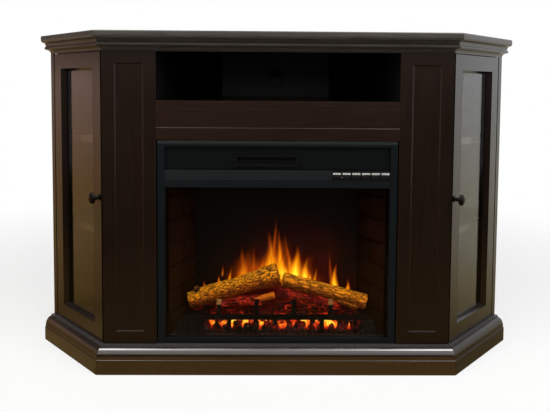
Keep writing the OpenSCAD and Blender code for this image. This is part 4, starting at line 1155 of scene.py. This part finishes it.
def bankHeight(y):
    for (nearY, nearZ), (farY, farZ) in zip(bank, bank[1:]):
        if y < farY:
            return nearZ + max(0.0, (y - nearY) / (farY - nearY)) * (farZ - nearZ)
    return bank[-1][1]


coalRow = {
    "reach": 232, "y": (-250.5, -246.0),       # along x to both sides, and place in y, mm
    "sizes": (9.0, 17.0), "tall": (1.05, 1.5), "thin": 0.6,
    "rise": 0.55,                              # of the middle above the foot of the bank, by height
}


def lineCoals(draw, s):
    # black coals side by side along the foot of the bank, the glow between them
    places, x = [], -s["reach"]
    while x < s["reach"]:
        r = draw.uniform(*s["sizes"])
        height = r * draw.uniform(*s["tall"])
        centre = Vector((x + r, draw.uniform(*s["y"]), bank[0][1] + height * s["rise"])) * mm
        turn = (draw.uniform(-0.3, 0.3), draw.uniform(-0.5, 0.5), draw.uniform(0, 6.28))
        places.append((centre, (r * mm, s["thin"] * r * mm, height * mm), turn))
        x += 2 * r * draw.uniform(0.75, 1.25)
    return places


def throwBits(draw, count, ySpan, xReach, sizes, proud, gap):
    places = []
    while len(places) < count:
        x, y = draw.uniform(-xReach, xReach), draw.uniform(*ySpan)
        r = draw.uniform(*sizes)
        if any(abs(x - place.x / mm) + abs(y - place.y / mm) < gap for place, size, turn in places):
            continue
        centre = Vector((x, y, bankHeight(y) + r * proud)) * mm
        size = [r * mm * draw.uniform(*span) for span in ((0.8, 1.3), (0.7, 1.0), (0.6, 1.0))]
        turn = [draw.uniform(0, 6.28) for axis in range(3)]
        places.append((centre, size, turn))
    return places


# piece: how many, span in y, reach in x, sizes, how far they stand out by size, least distance apart, finish
thrown = {
    "coalChips": (84, (-257, -251), 222, (3.0, 6.5), 0.5, 3, "darkMound"),
    "coalsMiddle": (46, (-240, -226), 205, (6.0, 10.0), 0.1, 7, "glowingCoal"),
    "coalsRear": (60, (-224, -184), 205, (6.0, 11.0), 0.1, 6, "glowingCoal"),
}
emberFinish = {name: emberMaterial(name, embers, *tones) for name, tones in emberTones.items()}
makeBed(embers)
draw = random.Random(5)
coal = makeLump(3, 0.8, 0.85)
scatter("coalsFront", coal, lineCoals(draw, coalRow), emberFinish["darkMound"])
for pieceName, (*spread, finishName) in thrown.items():
    scatter(pieceName, coal, throwBits(draw, *spread), emberFinish[finishName])
pebble = makeLump(1, 0.5, 0.9)
scatter("gravel", pebble, throwBits(draw, 420, (-267, -249), 258, (1.4, 3.0), 0.3, 0), finish["gravel"])
bpy.data.objects.remove(coal)
bpy.data.objects.remove(pebble)
print("ember bed, coals and gravel made")


# cable grommets and anchor plugs in the back panel:
# places in x and z, disc inside the panel, steps inwards with lengths outwards, and eased edge, in mm
plugs = {
    "cableGrommet": {"places": ((0, 155), (0, 715)), "sides": 64, "radius": 29.0, "thick": 1.4, "y": 304.8,
                     "steps": ((4.15, 5.4), (2.0, -2.4)), "ease": 0.35},
    "anchorPlug": {"places": ((-150, 782), (150, 782)), "sides": 32, "radius": 4.6, "thick": 1.0, "y": 305.0,
                   "steps": ((2.15, 5.4),), "ease": 0.2},
}


def makePlug(name, x, z, s):
    clearSelection()
    bpy.ops.mesh.primitive_cylinder_add(vertices=s["sides"], radius=s["radius"] * mm, depth=s["thick"] * mm,
                                        location=(x * mm, s["y"] * mm, z * mm), rotation=(math.pi / 2, 0, 0))
    plug = bpy.context.object
    plug.name = name
    applyPlace()
    selectFaces(plug, lambda face: face.normal.y > 0.9)
    editMode()
    for inset, length in s["steps"]:
        bpy.ops.mesh.inset(thickness=inset * mm)
        bpy.ops.mesh.extrude_region_move(TRANSFORM_OT_translate={"value": (0, length * mm, 0)})
    objectMode()
    addModifier(plug, "BEVEL", width=s["ease"] * mm, segments=2, limit_method="ANGLE")
    smoothByAngle()
    finishPiece(plug, "cabinet", "black_plastic", finish["plastic"])


for plugName, plugSettings in plugs.items():
    for number, (x, z) in enumerate(plugSettings["places"], 1):
        makePlug(plugName + str(number), x, z, plugSettings)
print("back panel closed")
